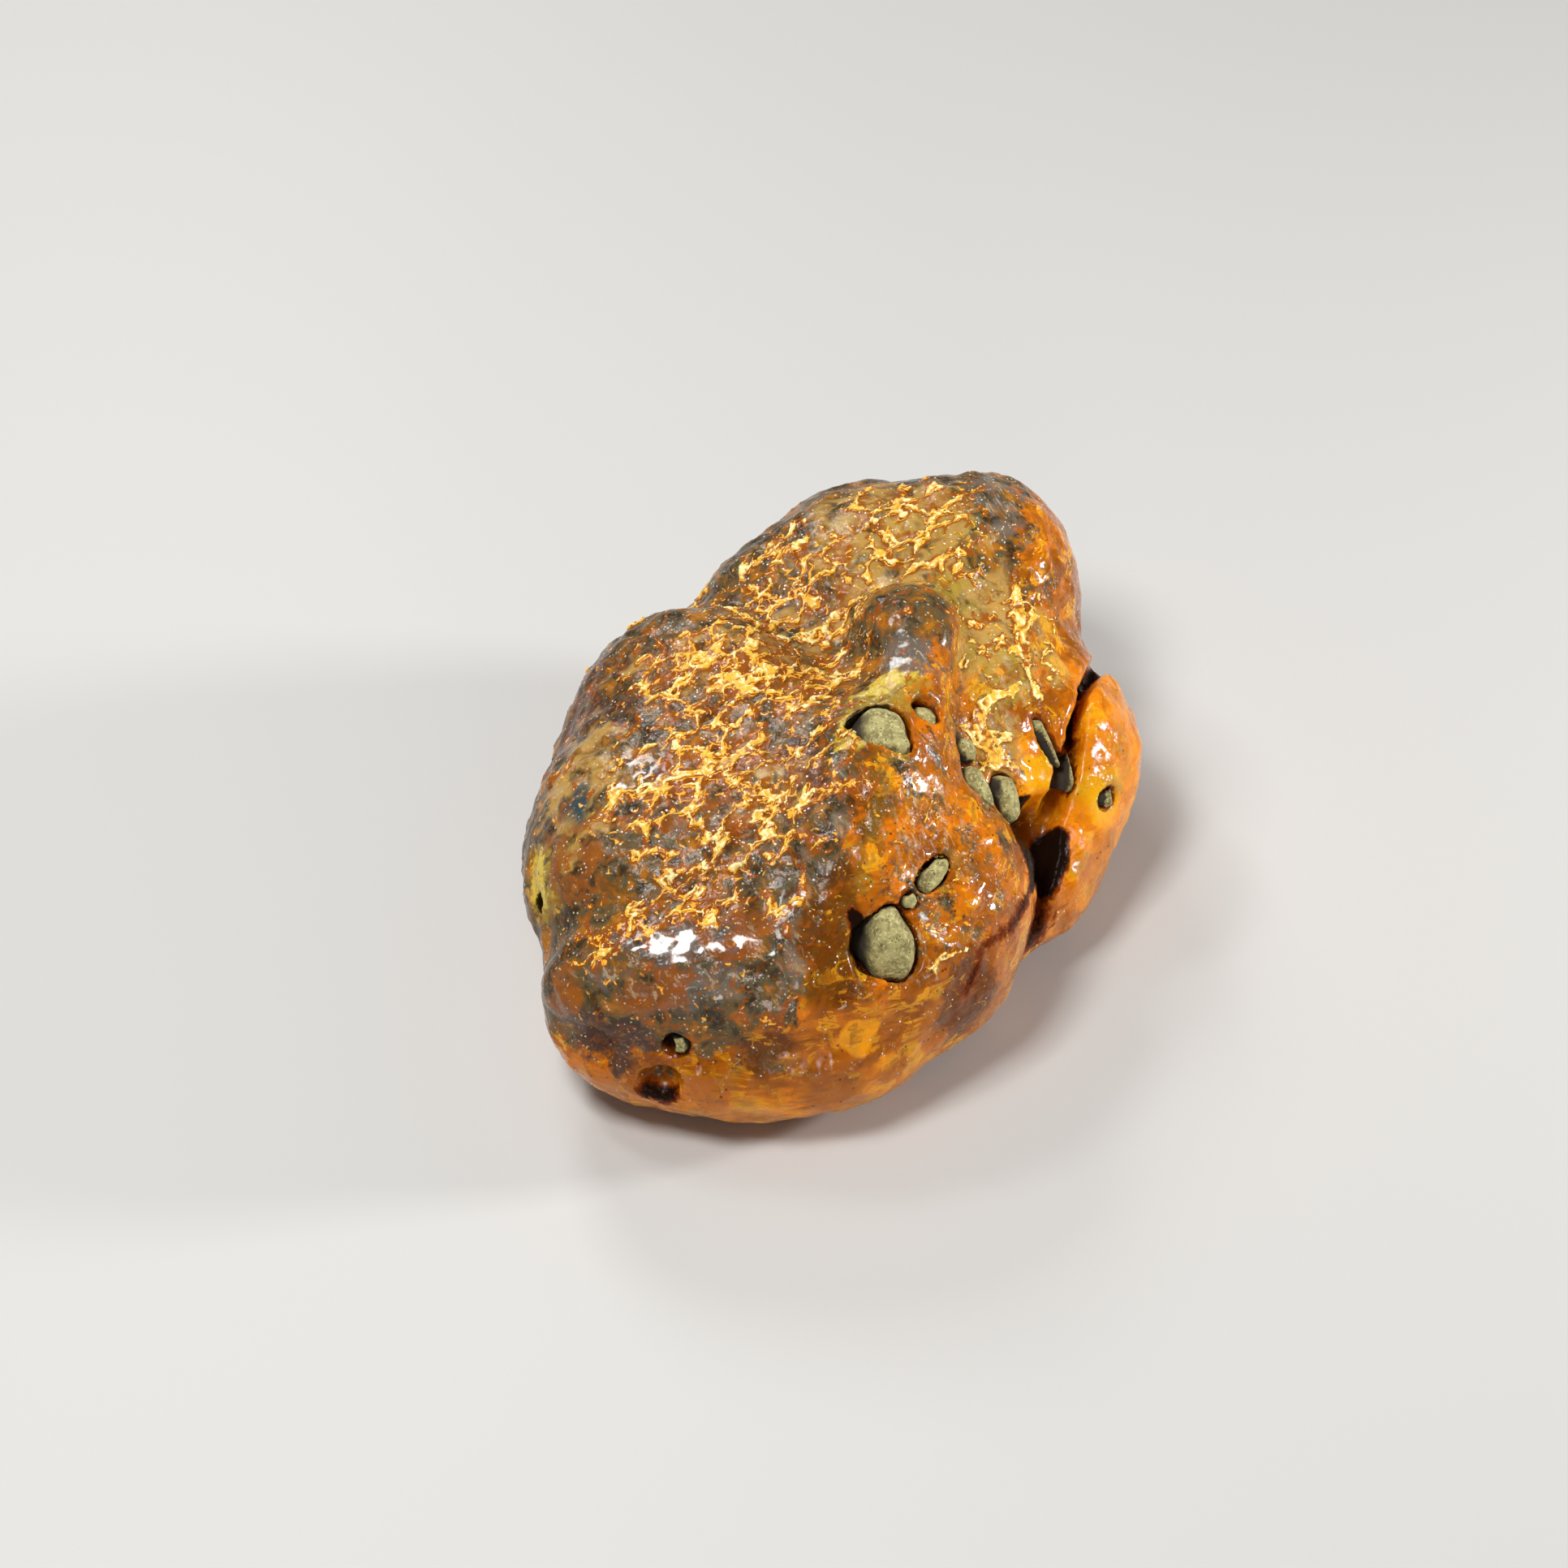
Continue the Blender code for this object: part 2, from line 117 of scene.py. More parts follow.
class Graph:
    """The node tree of one material, built up by calls."""

    relief = 0.9

    def __init__(self, name: str) -> None:
        """Makes a material with an empty tree.

        Args:
            name: the material's name.
        """
        self.material = bpy.data.materials.new(name)
        self.material.use_nodes = True
        self.tree = self.material.node_tree
        self.tree.nodes.clear()

    def node(
        self,
        kind: str,
        settings: dict[str, Any] | None = None,
        inputs: dict[Union[str, int], Any] | None = None,
        output: Union[str, int, None] = 0,
    ) -> Wire | None:
        """Adds one node.

        Args:
            kind: the node's type, such as "ShaderNodeTexNoise".
            settings: its properties. "stops" holds a ramp's (position, colour) pairs.
            inputs: a number, a tuple or a Wire for each socket, by name or by index.
            output: the output to give back, by name or by index. None gives none back.

        Returns:
            That output.
        """
        made = self.tree.nodes.new(kind)
        for name, value in (settings or {}).items():
            if name != "stops":
                setattr(made, name, value)
                continue
            ramp = made.color_ramp.elements
            while len(ramp) < len(value):
                ramp.new(0.5)
            for stop, (place, colour) in zip(ramp, value):
                stop.position = place
                stop.color = (*colour, 1.0)
        for name, value in (inputs or {}).items():
            socket = made.inputs[name]
            if isinstance(value, Wire):
                self.tree.links.new(value.socket, socket)
            elif isinstance(value, tuple) and len(value) == 3 and socket.type == "RGBA":
                socket.default_value = (*value, 1.0)
            else:
                socket.default_value = value
        return None if output is None else Wire(self, made.outputs[output])

    def maths(self, operation: str, first: Value, second: Value) -> Wire:
        """Adds a Math node on two values."""
        return self.node("ShaderNodeMath", {"operation": operation}, {0: first, 1: second})

    def stored(self, name: str) -> Wire:
        """Reads a mask that the mesh stores."""
        return self.node("ShaderNodeAttribute", {"attribute_name": name}, output="Fac")

    def place(self) -> Wire:
        """The object's own coordinates, in millimetres."""
        own = self.node("ShaderNodeTexCoord", output="Object")
        return self.node("ShaderNodeVectorMath", {"operation": "SCALE"}, {0: own, "Scale": 1 / MM})

    def stretched(self, place: Wire, scale: Point, turn: float = 0.0) -> Wire:
        """Turns coordinates about Z by some degrees and then scales them."""
        made = self.node("ShaderNodeMapping", {}, {"Vector": place, "Rotation": (0, 0, math.radians(turn))})
        return self.node("ShaderNodeMapping", {}, {"Vector": made, "Scale": scale})

    def cloud(
        self,
        place: Wire,
        size: float,
        detail: float = 3.0,
        rough: float = 0.5,
        twist: float = 0.0,
        output: str = "Fac",
    ) -> Wire:
        """Fractal noise with features of about `size` millimetres, from 0 to 1."""
        finer = {"Detail": detail, "Roughness": rough, "Distortion": twist}
        return self.node("ShaderNodeTexNoise", {}, {"Vector": place, "Scale": 1 / size} | finer, output)

    def cells(self, kind: Cells, place: Wire, size: float) -> Wire:
        """A pattern of random cells of about `size` millimetres."""
        feature, output = kind.value
        inputs = {"Vector": place, "Scale": 1 / size}
        return self.node("ShaderNodeTexVoronoi", {"feature": feature}, inputs, output)

    def curled(self, place: Wire, size: float, reach: float) -> Wire:
        """Bends coordinates by noise.

        Args:
            place: the coordinates, in millimetres.
            size: the size of the noise's features.
            reach: how far it bends them at most.

        Returns:
            The bent coordinates.
        """
        noise = self.cloud(place, size, 1.0, output="Color")
        away = self.node("ShaderNodeVectorMath", {"operation": "SUBTRACT"}, {0: noise, 1: (0.5, 0.5, 0.5)})
        inputs = {0: away, 1: (2 * reach, 2 * reach, 2 * reach), 2: place}
        return self.node("ShaderNodeVectorMath", {"operation": "MULTIPLY_ADD"}, inputs)

    def patchy(self, mask: str, noise: Wire, reach: float, start: float = 0.4, end: float = 0.9) -> Wire:
        """Where a stored mask and a noise are high together, with the noise's edges."""
        return (self.stored(mask) + (noise - 0.5) * reach).rise(start, end)

    def blend(self, share: Value, under: Any, over: Any) -> Wire:
        """Mixes two colours: `under` where `share` is 0, `over` where it is 1."""
        return self.node("ShaderNodeMix", {"data_type": "RGBA"}, {"Factor": share, 6: under, 7: over}, 2)

    def layered(self, body: Wire, *layers: tuple[Value, Any]) -> Wire:
        """Lays colours over a body in turn.

        Args:
            body: the colour below.
            layers: how strongly each colour covers what is below it, and the colour.

        Returns:
            The colour on top.
        """
        for share, colour in layers:
            body = self.blend(share, body, colour)
        return body

    def bump(self, height: Wire, depth: float) -> Wire:
        """The normal, tilted by a height map whose 1 stands for `depth` millimetres."""
        inputs = {"Height": height, "Distance": depth * MM, "Strength": self.relief}
        return self.node("ShaderNodeBump", {}, inputs)

    def principled(self, inputs: dict[Union[str, int], Any]) -> Wire:
        """A Principled surface."""
        return self.node("ShaderNodeBsdfPrincipled", {}, inputs)

    def mixed(self, share: Value, under: Wire, over: Wire) -> Wire:
        """Mixes two surfaces: `under` where `share` is 0, `over` where it is 1."""
        return self.node("ShaderNodeMixShader", {}, {0: share, 1: under, 2: over})

    def finish(self, surface: Wire, volume: Wire | None = None) -> bpy.types.Material:
        """Ends the tree.

        Args:
            surface: the material's surface.
            volume: its inside.

        Returns:
            The material.
        """
        ends = {"Surface": surface} | ({} if volume is None else {"Volume": volume})
        self.node("ShaderNodeOutputMaterial", {}, ends, None)
        return self.material


# ---- Mesh helpers ----


def soft_step(values: Array, start: float, end: float) -> Array:
    """A smooth step from 0 at `start` to 1 at `end`."""
    share = np.clip((values - start) / (end - start), 0.0, 1.0)
    return share * share * (3.0 - 2.0 * share)


def bell(values: Array, width: float) -> Array:
    """A bell curve: 1 where values are 0, and a third at `width` from there."""
    return np.exp(-((values / width) ** 2))


def scramble(cells: Array, seed: int) -> Array:
    """Three random numbers from 0 to 1 for each cell of a lattice.

    Args:
        cells: whole numbers, three to a row.
        seed: picks the set.

    Returns:
        The numbers, three to a row.
    """
    parts = cells.astype(np.uint64)
    mixed = parts[:, 0] * np.uint64(73856093) + parts[:, 1] * np.uint64(19349663)
    mixed += parts[:, 2] * np.uint64(83492791) + np.uint64(seed * 2654435761 + 97)
    for shift, factor in ((30, 0xBF58476D1CE4E5B9), (27, 0x94D049BB133111EB)):
        mixed = (mixed ^ (mixed >> np.uint64(shift))) * np.uint64(factor)
    mixed ^= mixed >> np.uint64(31)
    low = np.uint64(0x1FFFFF)
    return np.stack([(mixed >> np.uint64(21 * part)) & low for part in range(3)], axis=1) / float(0x200000)


def near_spots(points: Array, size: float, seed: int) -> tuple[Array, Array]:
    """Distances to the two nearest of scattered spots, as shares of their spacing.

    Args:
        points: the places to measure at, in millimetres.
        size: the spacing of the spots.
        seed: picks the scatter.

    Returns:
        The distance to the nearest spot and to the next.
    """
    placed = points / size
    home = np.floor(placed).astype(np.int64)
    first = np.full(len(placed), 9.0)
    second = first.copy()
    for step in np.ndindex(3, 3, 3):
        cell = home + (np.array(step) - 1)
        away = np.linalg.norm(cell + scramble(cell, seed) - placed, axis=1)
        second = np.minimum(second, np.maximum(first, away))
        first = np.minimum(first, away)
    return first, second


def fractal(points: Array, size: float, octaves: int = 3, seed: int = 0) -> Array:
    """Fractal noise at points in millimetres.

    Args:
        points: the places, one to a row.
        size: the size of its largest features.
        octaves: how many finer layers it has.
        seed: picks the pattern.

    Returns:
        One value a point, mostly between -1 and 1.
    """
    total = np.zeros(len(points))
    weight = 1.0
    for octave in range(octaves):
        placed = points * (2.0**octave / size)
        home = np.floor(placed).astype(np.int64)
        inner = placed - home
        ease = inner**3 * (inner * (inner * 6 - 15) + 10)
        for step in np.ndindex(2, 2, 2):
            corner = np.array(step)
            slope = scramble(home + corner, seed + 31 * octave) * 2 - 1
            share = np.prod(np.where(corner == 1, ease, 1 - ease), axis=1)
            total += weight * share * ((inner - corner) * slope).sum(axis=1)
        weight *= 0.5
    return total * 1.6 / (2.0 - 2.0 * weight)


def warped(points: Array, size: float, reach: float, seed: int) -> Array:
    """Points moved about by noise.

    Args:
        points: the places, in millimetres.
        size: the size of the swirls.
        reach: how far the noise moves them.
        seed: picks the pattern.

    Returns:
        The moved points.
    """
    return points + reach * np.stack([fractal(points, size, 2, seed + axis) for axis in range(3)], axis=1)


def path_offset(points: Array, path: Sequence[Point]) -> tuple[Array, Array]:
    """How far points lie from a line of places.

    Args:
        points: the points, in millimetres.
        path: the line's places, from front to back.

    Returns:
        The distance, and the distance to the line's right as seen from above.
    """
    nearest = np.full(len(points), np.inf)
    right = np.zeros(len(points))
    for first, second in zip(path, path[1:]):
        start, end = np.array(first), np.array(second)
        run = end - start
        along = np.clip(((points - start) @ run) / (run @ run), 0.0, 1.0)
        offset = points - start - along[:, None] * run
        away = np.linalg.norm(offset, axis=1)
        level = run[:2] / np.linalg.norm(run[:2])
        side = offset[:, 0] * level[1] - offset[:, 1] * level[0]
        closer = away < nearest
        right = np.where(closer, side, right)
        nearest = np.minimum(nearest, away)
    return nearest, right


def stand(name: str, data: bpy.types.ID) -> bpy.types.Object:
    """Puts a mesh, light or camera into the scene.

    Args:
        name: the new object's name.
        data: what it shows.

    Returns:
        The object.
    """
    made = bpy.data.objects.new(name, data)
    bpy.context.scene.collection.objects.link(made)
    return made


class Fabric:
    """A triangle or quad mesh held as arrays, in millimetres, while it is worked."""

    def __init__(self, source: bpy.types.Object, voxel: float) -> None:
        """Remeshes an object's shape into even quads.

        Args:
            source: the object.
            voxel: the spacing of the new mesh, in millimetres.
        """
        copy = stand("working_copy", source.data.copy())
        melt = copy.modifiers.new("melt", "REMESH")
        melt.mode = "VOXEL"
        melt.voxel_size = voxel * MM
        graph = bpy.context.evaluated_depsgraph_get()
        self.mesh = bpy.data.meshes.new_from_object(copy.evaluated_get(graph))
        bpy.data.objects.remove(copy)
        self.points = np.empty(len(self.mesh.vertices) * 3)
        self.mesh.vertices.foreach_get("co", self.points)
        self.points = self.points.reshape(-1, 3) / MM
        self.edges = np.empty(len(self.mesh.edges) * 2, np.int32)
        self.mesh.edges.foreach_get("vertices", self.edges)
        self.edges = self.edges.reshape(-1, 2)
        self.neighbours = np.bincount(self.edges.ravel(), minlength=len(self.points))
        self.rest = self.points

    def spread(self, values: Array) -> Array:
        """Averages a value over each point's neighbours.

        Args:
            values: one number a point.

        Returns:
            The means.
        """
        first, second = self.edges.T
        count = len(self.points)
        total = np.bincount(first, values[second], count) + np.bincount(second, values[first], count)
        return total / np.maximum(self.neighbours, 1)

    def smoothed(self, points: Array) -> Array:
        """The mean place of each point's neighbours."""
        return np.stack([self.spread(points[:, axis]) for axis in range(3)], axis=1)

    def ease(self, passes: int) -> None:
        """Smooths the mesh without shrinking it: each pass smooths it and lets it back out."""
        for share in (0.5, -0.52) * passes:
            self.points += (self.smoothed(self.points) - self.points) * share

    def normals(self) -> Array:
        """Works out the direction that the mesh faces at each point.

        Returns:
            One direction a row.
        """
        self.write()
        found = np.empty(len(self.points) * 3)
        self.mesh.vertices.foreach_get("normal", found)
        return found.reshape(-1, 3)

    def write(self) -> None:
        """Puts the worked points back into the mesh."""
        self.mesh.vertices.foreach_set("co", (self.points * MM).ravel())
        self.mesh.update()

    def store(self, name: str, values: Array) -> None:
        """Stores one number a point, for the finish to read."""
        made = self.mesh.attributes.new(name, "FLOAT", "POINT")
        made.data.foreach_set("value", np.asarray(values, np.float32))

    def piece(self, name: str, node: str, material: bpy.types.Material) -> bpy.types.Object:
        """Makes the mesh a piece in the place of a solid of the frame, and hides that solid.

        Args:
            name: the piece's name.
            node: the solid's name.
            material: its finish.

        Returns:
            The new object.
        """
        self.write()
        self.mesh.name = name
        self.mesh.materials.clear()
        self.mesh.materials.append(material)
        self.mesh.shade_smooth()
        made = stand(name, self.mesh)
        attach(made, "root")
        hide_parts(node)
        return made


# ---- Finishes ----


@dataclass(frozen=True)
class AmberFinish:
    """Honey resin, clear and cloudy by turns, under a brown crust that comes and goes."""

    honey: Colour = (0.66, 0.185, 0.004)
    deep: Colour = (0.30, 0.082, 0.003)
    straw: Colour = (0.84, 0.40, 0.010)
    flame: Colour = (1.0, 0.31, 0.003)
    sun: Colour = (1.0, 0.39, 0.004)
    # Near white, for painted glints.
    painted_glint: Colour = (1.0, 0.92, 0.78)
    pitch: Colour = (0.030, 0.022, 0.010)
    umber: Colour = (0.060, 0.036, 0.013)
    drab: Colour = (0.100, 0.078, 0.036)
    brown: Colour = (0.17, 0.075, 0.013)
    ash: Colour = (0.155, 0.128, 0.102)
    plum: Colour = (0.075, 0.032, 0.025)
    tan: Colour = (0.50, 0.30, 0.075)
    lemon: Colour = (0.66, 0.48, 0.055)
    rust: Colour = (0.25, 0.072, 0.012)
    slate: Colour = (0.035, 0.062, 0.066)
    moss: Colour = (0.36, 0.245, 0.030)
    tawny: Colour = (0.42, 0.155, 0.010)
    gold: Colour = (1.0, 0.46, 0.05)
    burnt: Colour = (0.30, 0.070, 0.004)
    dusk: Colour = (0.12, 0.032, 0.002)
    chalk: Colour = (0.56, 0.47, 0.30)
    # Near black and dark red, for painted shade; the near black also for staining.
    soot: Colour = (0.010, 0.004, 0.002)
    wine: Colour = (0.17, 0.028, 0.002)
    clear: Colour = (1.0, 0.80, 0.38)
    milk_depth: float = 1.6
    lamp_depth: float = 4.0
    ior: float = 1.54
    absorption: Colour = (0.985, 0.78, 0.02)
    density: float = 280.0

    def resin(self, g: Graph, place: Wire, calm: Wire, web: Wire) -> Wire:
        """The bare resin: milky, with clear parts, with painted glow, painted shade and painted glints.

        Args:
            g: the graph to build in.
            place: coordinates in millimetres.
            calm: the tilted normal of bare resin.
            web: distance from the walls of the fine web.

        Returns:
            The surface.
        """
        broad = g.cloud(place, 5.0, 3.0, 0.5)
        flow = g.cloud(g.stretched(place, (0.4, 0.4, 1.3)), 1.4, 4.0, 0.6, 1.0)
        plates = g.cells(Cells.PLATES, g.curled(place, 0.9, 0.7), 1.9)
        swirl = g.cloud(place, 2.0, 5.0, 0.65, 1.2)
        streak = g.cloud(g.stretched(place, (1.0, 0.28, 0.5), -25), 0.8, 5.0, 0.65, 0.5)
        glow = g.stored("glow")
        sun = g.stored("sun")
        sunny = sun + (swirl - 0.5) * 1.2 + (streak - 0.5) * 1.0
        scales = plates.rise(0.45, 0.30) * flow.rise(0.40, 0.55)
        cracks = web.rise(0.06, 0.01) * broad.rise(0.56, 0.50) * swirl.rise(0.44, 0.52)
        dirt = g.cells(Cells.SPOTS, place, 0.9).rise(0.17, 0.10) * broad.rise(0.48, 0.56)
        # Painted glints: near-white dots scattered over the resin, fewer where it glows.
        painted_glint_flecks = g.cells(Cells.SPOTS, place, 0.6).rise(0.17, 0.10) * swirl.rise(0.48, 0.56)
        body = g.layered(
            g.blend((broad + flow * 0.8).rise(0.72, 1.02), self.deep, self.honey),
            (glow * (0.45 + 0.5 * flow.rise(0.3, 0.6)), self.flame),
            (swirl.rise(0.52, 0.70) * 0.5, self.straw),
            (g.patchy("tan", swirl, 2.0, 0.35, 0.85) * 0.85, self.tan),
            (g.patchy("moss", swirl, 2.4, 0.35) * 0.8, self.moss),
            (g.stored("rust") * swirl.rise(0.35, 0.6) * 0.7, self.rust),
            (g.patchy("shade", swirl, 1.6, 0.35) * 0.85, self.dusk),
            # Bright yellow patches: partly the resin's own yellow, partly painted glow in the lobe and the
            # front face.
            (sunny.rise(0.3, 0.85) * 0.95, self.sun),
            (streak.rise(0.52, 0.62) * g.stored("fibre") * 0.8, self.chalk),
            (scales * (0.45 - glow * 0.25), self.dusk),
            (plates.rise(0.66, 0.72) * flow.rise(0.48, 0.56) * 0.7, self.straw),
            (flow.rise(0.57, 0.66) * (1 - sun) * (0.5 - glow * 0.2), self.burnt),
            # Painted shade, dark red, in a ring round the silt.
            (g.patchy("rim", swirl, 1.6, 0.5, 0.8) * 0.9, self.wine),
            (cracks * 0.7 * (1 - glow) * (1 - sun), self.burnt),
            (web.rise(0.04, 0.01) * swirl.rise(0.56, 0.64) * 0.8, self.straw),
            (dirt * 0.85, self.umber),
            (painted_glint_flecks * (1 - 0.7 * glow), self.painted_glint),
        )
        depth = {"Subsurface Weight": 1.0, "Subsurface Radius": (1.0, 0.60, 0.20), "IOR": self.ior}
        shine = {"Specular IOR Level": 0.04, "Coat Weight": 0.3, "Coat Roughness": 0.02, "Normal": calm}
        looks = {"Base Color": body, "Roughness": 0.09 + streak.rise(0.4, 0.7) * 0.08} | depth | shine
        milk = g.principled(looks | {"Subsurface Scale": self.milk_depth * MM})
        lamp = g.principled(looks | {"Subsurface Scale": self.lamp_depth * MM})
        clear = {"Base Color": self.clear, "Roughness": 0.06, "Transmission Weight": 1.0, "IOR": self.ior}
        glass = g.principled(clear | {"Normal": calm})
        cloudy = g.mixed(glow, milk, lamp)
        return g.mixed(g.stored("clear") * (0.10 + 0.38 * broad.rise(0.4, 0.6)), cloudy, glass)

    def crust(self, g: Graph, place: Wire, relief: Wire, web: Wire) -> Wire:
        """The crust: brown, ashen and olive patches with pale hairs and pits, with painted glints and a ring of
        painted shade round the silt.

        Args:
            g: the graph to build in.
            place: coordinates in millimetres.
            relief: the tilted normal of crust.
            web: distance from the walls of the fine web.

        Returns:
            The surface.
        """
        fine = g.cloud(place, 0.9, 3.0, 0.5, 0.6)
        patch = g.cloud(place, 2.2, 3.0, 0.55, 0.5)
        other = g.cloud(place, 2.3, 3.0, 0.5, 0.6)
        wet = g.stored("wet")
        fade = (self.pitch, self.umber, self.drab, self.brown, self.tawny)
        stops = list(zip((0.34, 0.43, 0.50, 0.57, 0.67), fade))
        hair = g.cloud(g.stretched(place, (1.0, 0.20, 0.6), -35), 0.55, 4.0, 0.65, 1.2)
        hairs = hair.rise(0.56, 0.62) * g.cloud(place, 2.0).rise(0.44, 0.56)
        torn = g.stored("net") + (fine - 0.5) * 0.8
        gild = g.stored("gild")
        broken = (gild * 0.3 + (fine - 0.5) * 3.0).rise(0.35, 0.6)
        leaf = torn.rise(-0.04, 0.03)
        # Painted glints: near-white dots over the crust, more among the flakes and fewer where it is wet.
        painted_glint_specks = g.cells(Cells.SPOTS, place, 0.5).rise(0.23, 0.15)
        painted_glint_specks *= g.cloud(place, 1.1, 4.0, 0.7).rise(0.44, 0.56) * (0.5 + 0.5 * gild)
        body = g.layered(
            g.node("ShaderNodeValToRGB", {"stops": stops}, {"Fac": patch}),
            (g.patchy("plum", other, 2.0, end=0.8) * 0.8, self.plum),
            (g.patchy("ash", other, 2.4) * 0.8, self.ash),
            (g.patchy("tan", other, 2.6) * 0.85, self.tan),
            (g.patchy("moss", fine, 2.2) * 0.85, self.moss),
            (g.patchy("sun", fine, 2.0) * 0.9, self.lemon),
            (g.patchy("rust", patch, 3.0) * 0.8, self.rust),
            (g.patchy("shade", fine, 1.4) * 0.8, self.dusk),
            (hairs * (0.12 + 0.5 * g.stored("ash")), self.chalk),
            (g.stored("slate") * fine.rise(0.3, 0.42), self.slate),
            (torn.rise(-0.65, -0.2) * 0.9, self.burnt),
            (web.rise(0.16, 0.03) * broken * 0.7, self.burnt),
            (web.rise(0.07, 0.015) * broken, self.gold),
            (leaf, self.gold),
            (painted_glint_specks * (1 - 0.4 * wet), self.painted_glint),
            # Painted shade, near black, in a ring round the silt.
            (g.patchy("rim", fine, 1.6, 0.5, 0.8) * 0.9, self.soot),
        )
        looks = {"Base Color": body, "Roughness": 0.2 - wet * 0.08 + leaf * 0.1, "Normal": relief}
        shine = {"Coat Weight": wet * 0.9, "Coat Roughness": 0.11, "Specular IOR Level": 0.16}
        return g.principled(looks | shine | {"IOR": self.ior})

    def make(self) -> bpy.types.Material:
        """Builds the material.

        Returns:
            The material, with its absorbing inside.
        """
        g = Graph("amber_skin")
        place = g.place()
        grain = g.cloud(place, 0.35, 3.0, 0.6)
        ripple = g.cloud(place, 0.9, 3.0, 0.55, 0.3)
        calm = g.bump(ripple * 0.8 + grain * 0.15 + g.cloud(place, 2.4, 2.0) * 1.6, 0.22)
        dimples = g.cells(Cells.SPOTS, place, 1.2) * g.stored("wet")
        relief = g.bump(ripple * 0.7 + grain * 0.2 + dimples * 0.9, 0.20)
        web = g.cells(Cells.WALLS, g.curled(place, 1.6, 0.8), 1.5)
        edge = (g.cloud(place, 3.0, 5.0, 0.65, 0.8) - 0.5) * 1.7 + (grain - 0.5) * 0.4
        cover = (g.stored("crust") + edge).rise(0.34, 0.62) * (0.75 + 0.25 * ripple.rise(0.35, 0.5))
        shown = g.mixed(cover, self.resin(g, place, calm, web), self.crust(g, place, relief, web))
        # Painted shade: a near-black to dark red surface laid in the hollows, the cavity and the cleft, and
        # along a stained line below the cavity.
        shade_colour = g.blend(g.patchy("soot", grain, 0.6, 0.8, 0.45), self.soot, self.wine)
        dull = {"Roughness": 0.2, "Specular IOR Level": 0.04, "Normal": relief}
        dark = g.principled({"Base Color": shade_colour} | dull)
        shade_and_stain_share = (g.stored("soot") + (ripple - 0.5) * 0.9 + (grain - 0.5) * 0.5).rise(0.26, 0.56)
        inside = {"Color": self.absorption, "Density": self.density}
        volume = g.node("ShaderNodeVolumeAbsorption", {}, inside)
        return g.finish(g.mixed(shade_and_stain_share, shown, dark), volume)


@dataclass(frozen=True)
class FlakeFinish:
    """Wet golden skin, pale along its crests, partly as painted highlight, burnt orange at its rims, and
    painted shade on its underside.
    """

    gold: Colour = (0.93, 0.50, 0.055)
    pale: Colour = (1.0, 0.80, 0.38)
    orange: Colour = (0.36, 0.10, 0.006)
    milk_depth: float = 0.5
    ior: float = 1.54

    def make(self) -> bpy.types.Material:
        """Builds the material.

        Returns:
            The material.
        """
        g = Graph("torn_gold")
        place = g.place()
        crest = g.stored("crest")
        streak = g.cloud(g.stretched(place, (1.0, 0.35, 0.6), -35), 0.5, 4.0, 0.6, 0.8)
        mottle = g.cloud(place, 1.1, 3.0, 0.5, 0.6)
        # Orange low down, gold higher, pale on the crests: partly the flakes' own colours, partly painted
        # highlight on the crests.
        body = g.blend((crest + (mottle - 0.5) * 2.2).rise(0.20, 0.62), self.orange, self.gold)
        body = g.blend((crest + (streak - 0.5) * 2.4).rise(0.60, 0.95), body, self.pale)
        relief = g.bump(streak * 0.6 + mottle * 0.4, 0.18)
        looks = {"Base Color": body, "Roughness": 0.16 + streak * 0.12, "Normal": relief}
        shine = {"Specular IOR Level": 0.35, "IOR": self.ior, "Subsurface Scale": self.milk_depth * MM}
        depth = {"Subsurface Weight": 0.6, "Subsurface Radius": (1.0, 0.5, 0.12)}
        return g.finish(g.principled(looks | shine | depth))


@dataclass(frozen=True)
class SedimentFinish:
    """Dry grey-green silt with dark and pale grains, and painted shade where it sinks into its pit."""

    silt: Colour = (0.40, 0.35, 0.135)
    silt_dark: Colour = (0.21, 0.175, 0.06)
    grain_pale: Colour = (0.60, 0.54, 0.25)
    # Near black, for dark grains and for painted shade.
    dark_grain_and_shade: Colour = (0.03, 0.022, 0.012)

    def make(self) -> bpy.types.Material:
        """Builds the material.

        Returns:
            The material.
        """
        g = Graph("sediment")
        place = g.place()
        patches = g.cloud(place, 1.0, 4.0, 0.6)
        grain = g.cells(Cells.SPOTS, place, 0.3)
        body = g.layered(
            g.blend(patches.rise(0.35, 0.6), self.silt_dark, self.silt),
            (g.cloud(place, 0.28, 2.0).rise(0.5, 0.7) * 0.8, self.grain_pale),
            (grain.rise(0.26, 0.16) * g.cloud(place, 0.7).rise(0.48, 0.58), self.dark_grain_and_shade),
            # Painted shade on the sides that face into the pit and on the sunk left side.
            (g.stored("buried"), self.dark_grain_and_shade),
        )
        relief = g.bump(patches * 0.5 + grain * 0.5, 0.12)
        return g.finish(g.principled({"Base Color": body, "Roughness": 0.85, "Normal": relief}))


@dataclass(frozen=True)
class FloorFinish:
    """A plain pale matt surface."""

    paint: Colour = (0.58, 0.57, 0.55)
    worn: float = 0.97
    patch: float = 300.0

    def make(self) -> bpy.types.Material:
        """Builds the material.

        Returns:
            The material.
        """
        g = Graph("studio_floor")
        worn = tuple(part * self.worn for part in self.paint)
        body = g.blend(g.cloud(g.place(), self.patch), self.paint, worn)
        return g.finish(g.principled({"Base Color": body, "Roughness": 0.6}))


# ---- The nugget ----


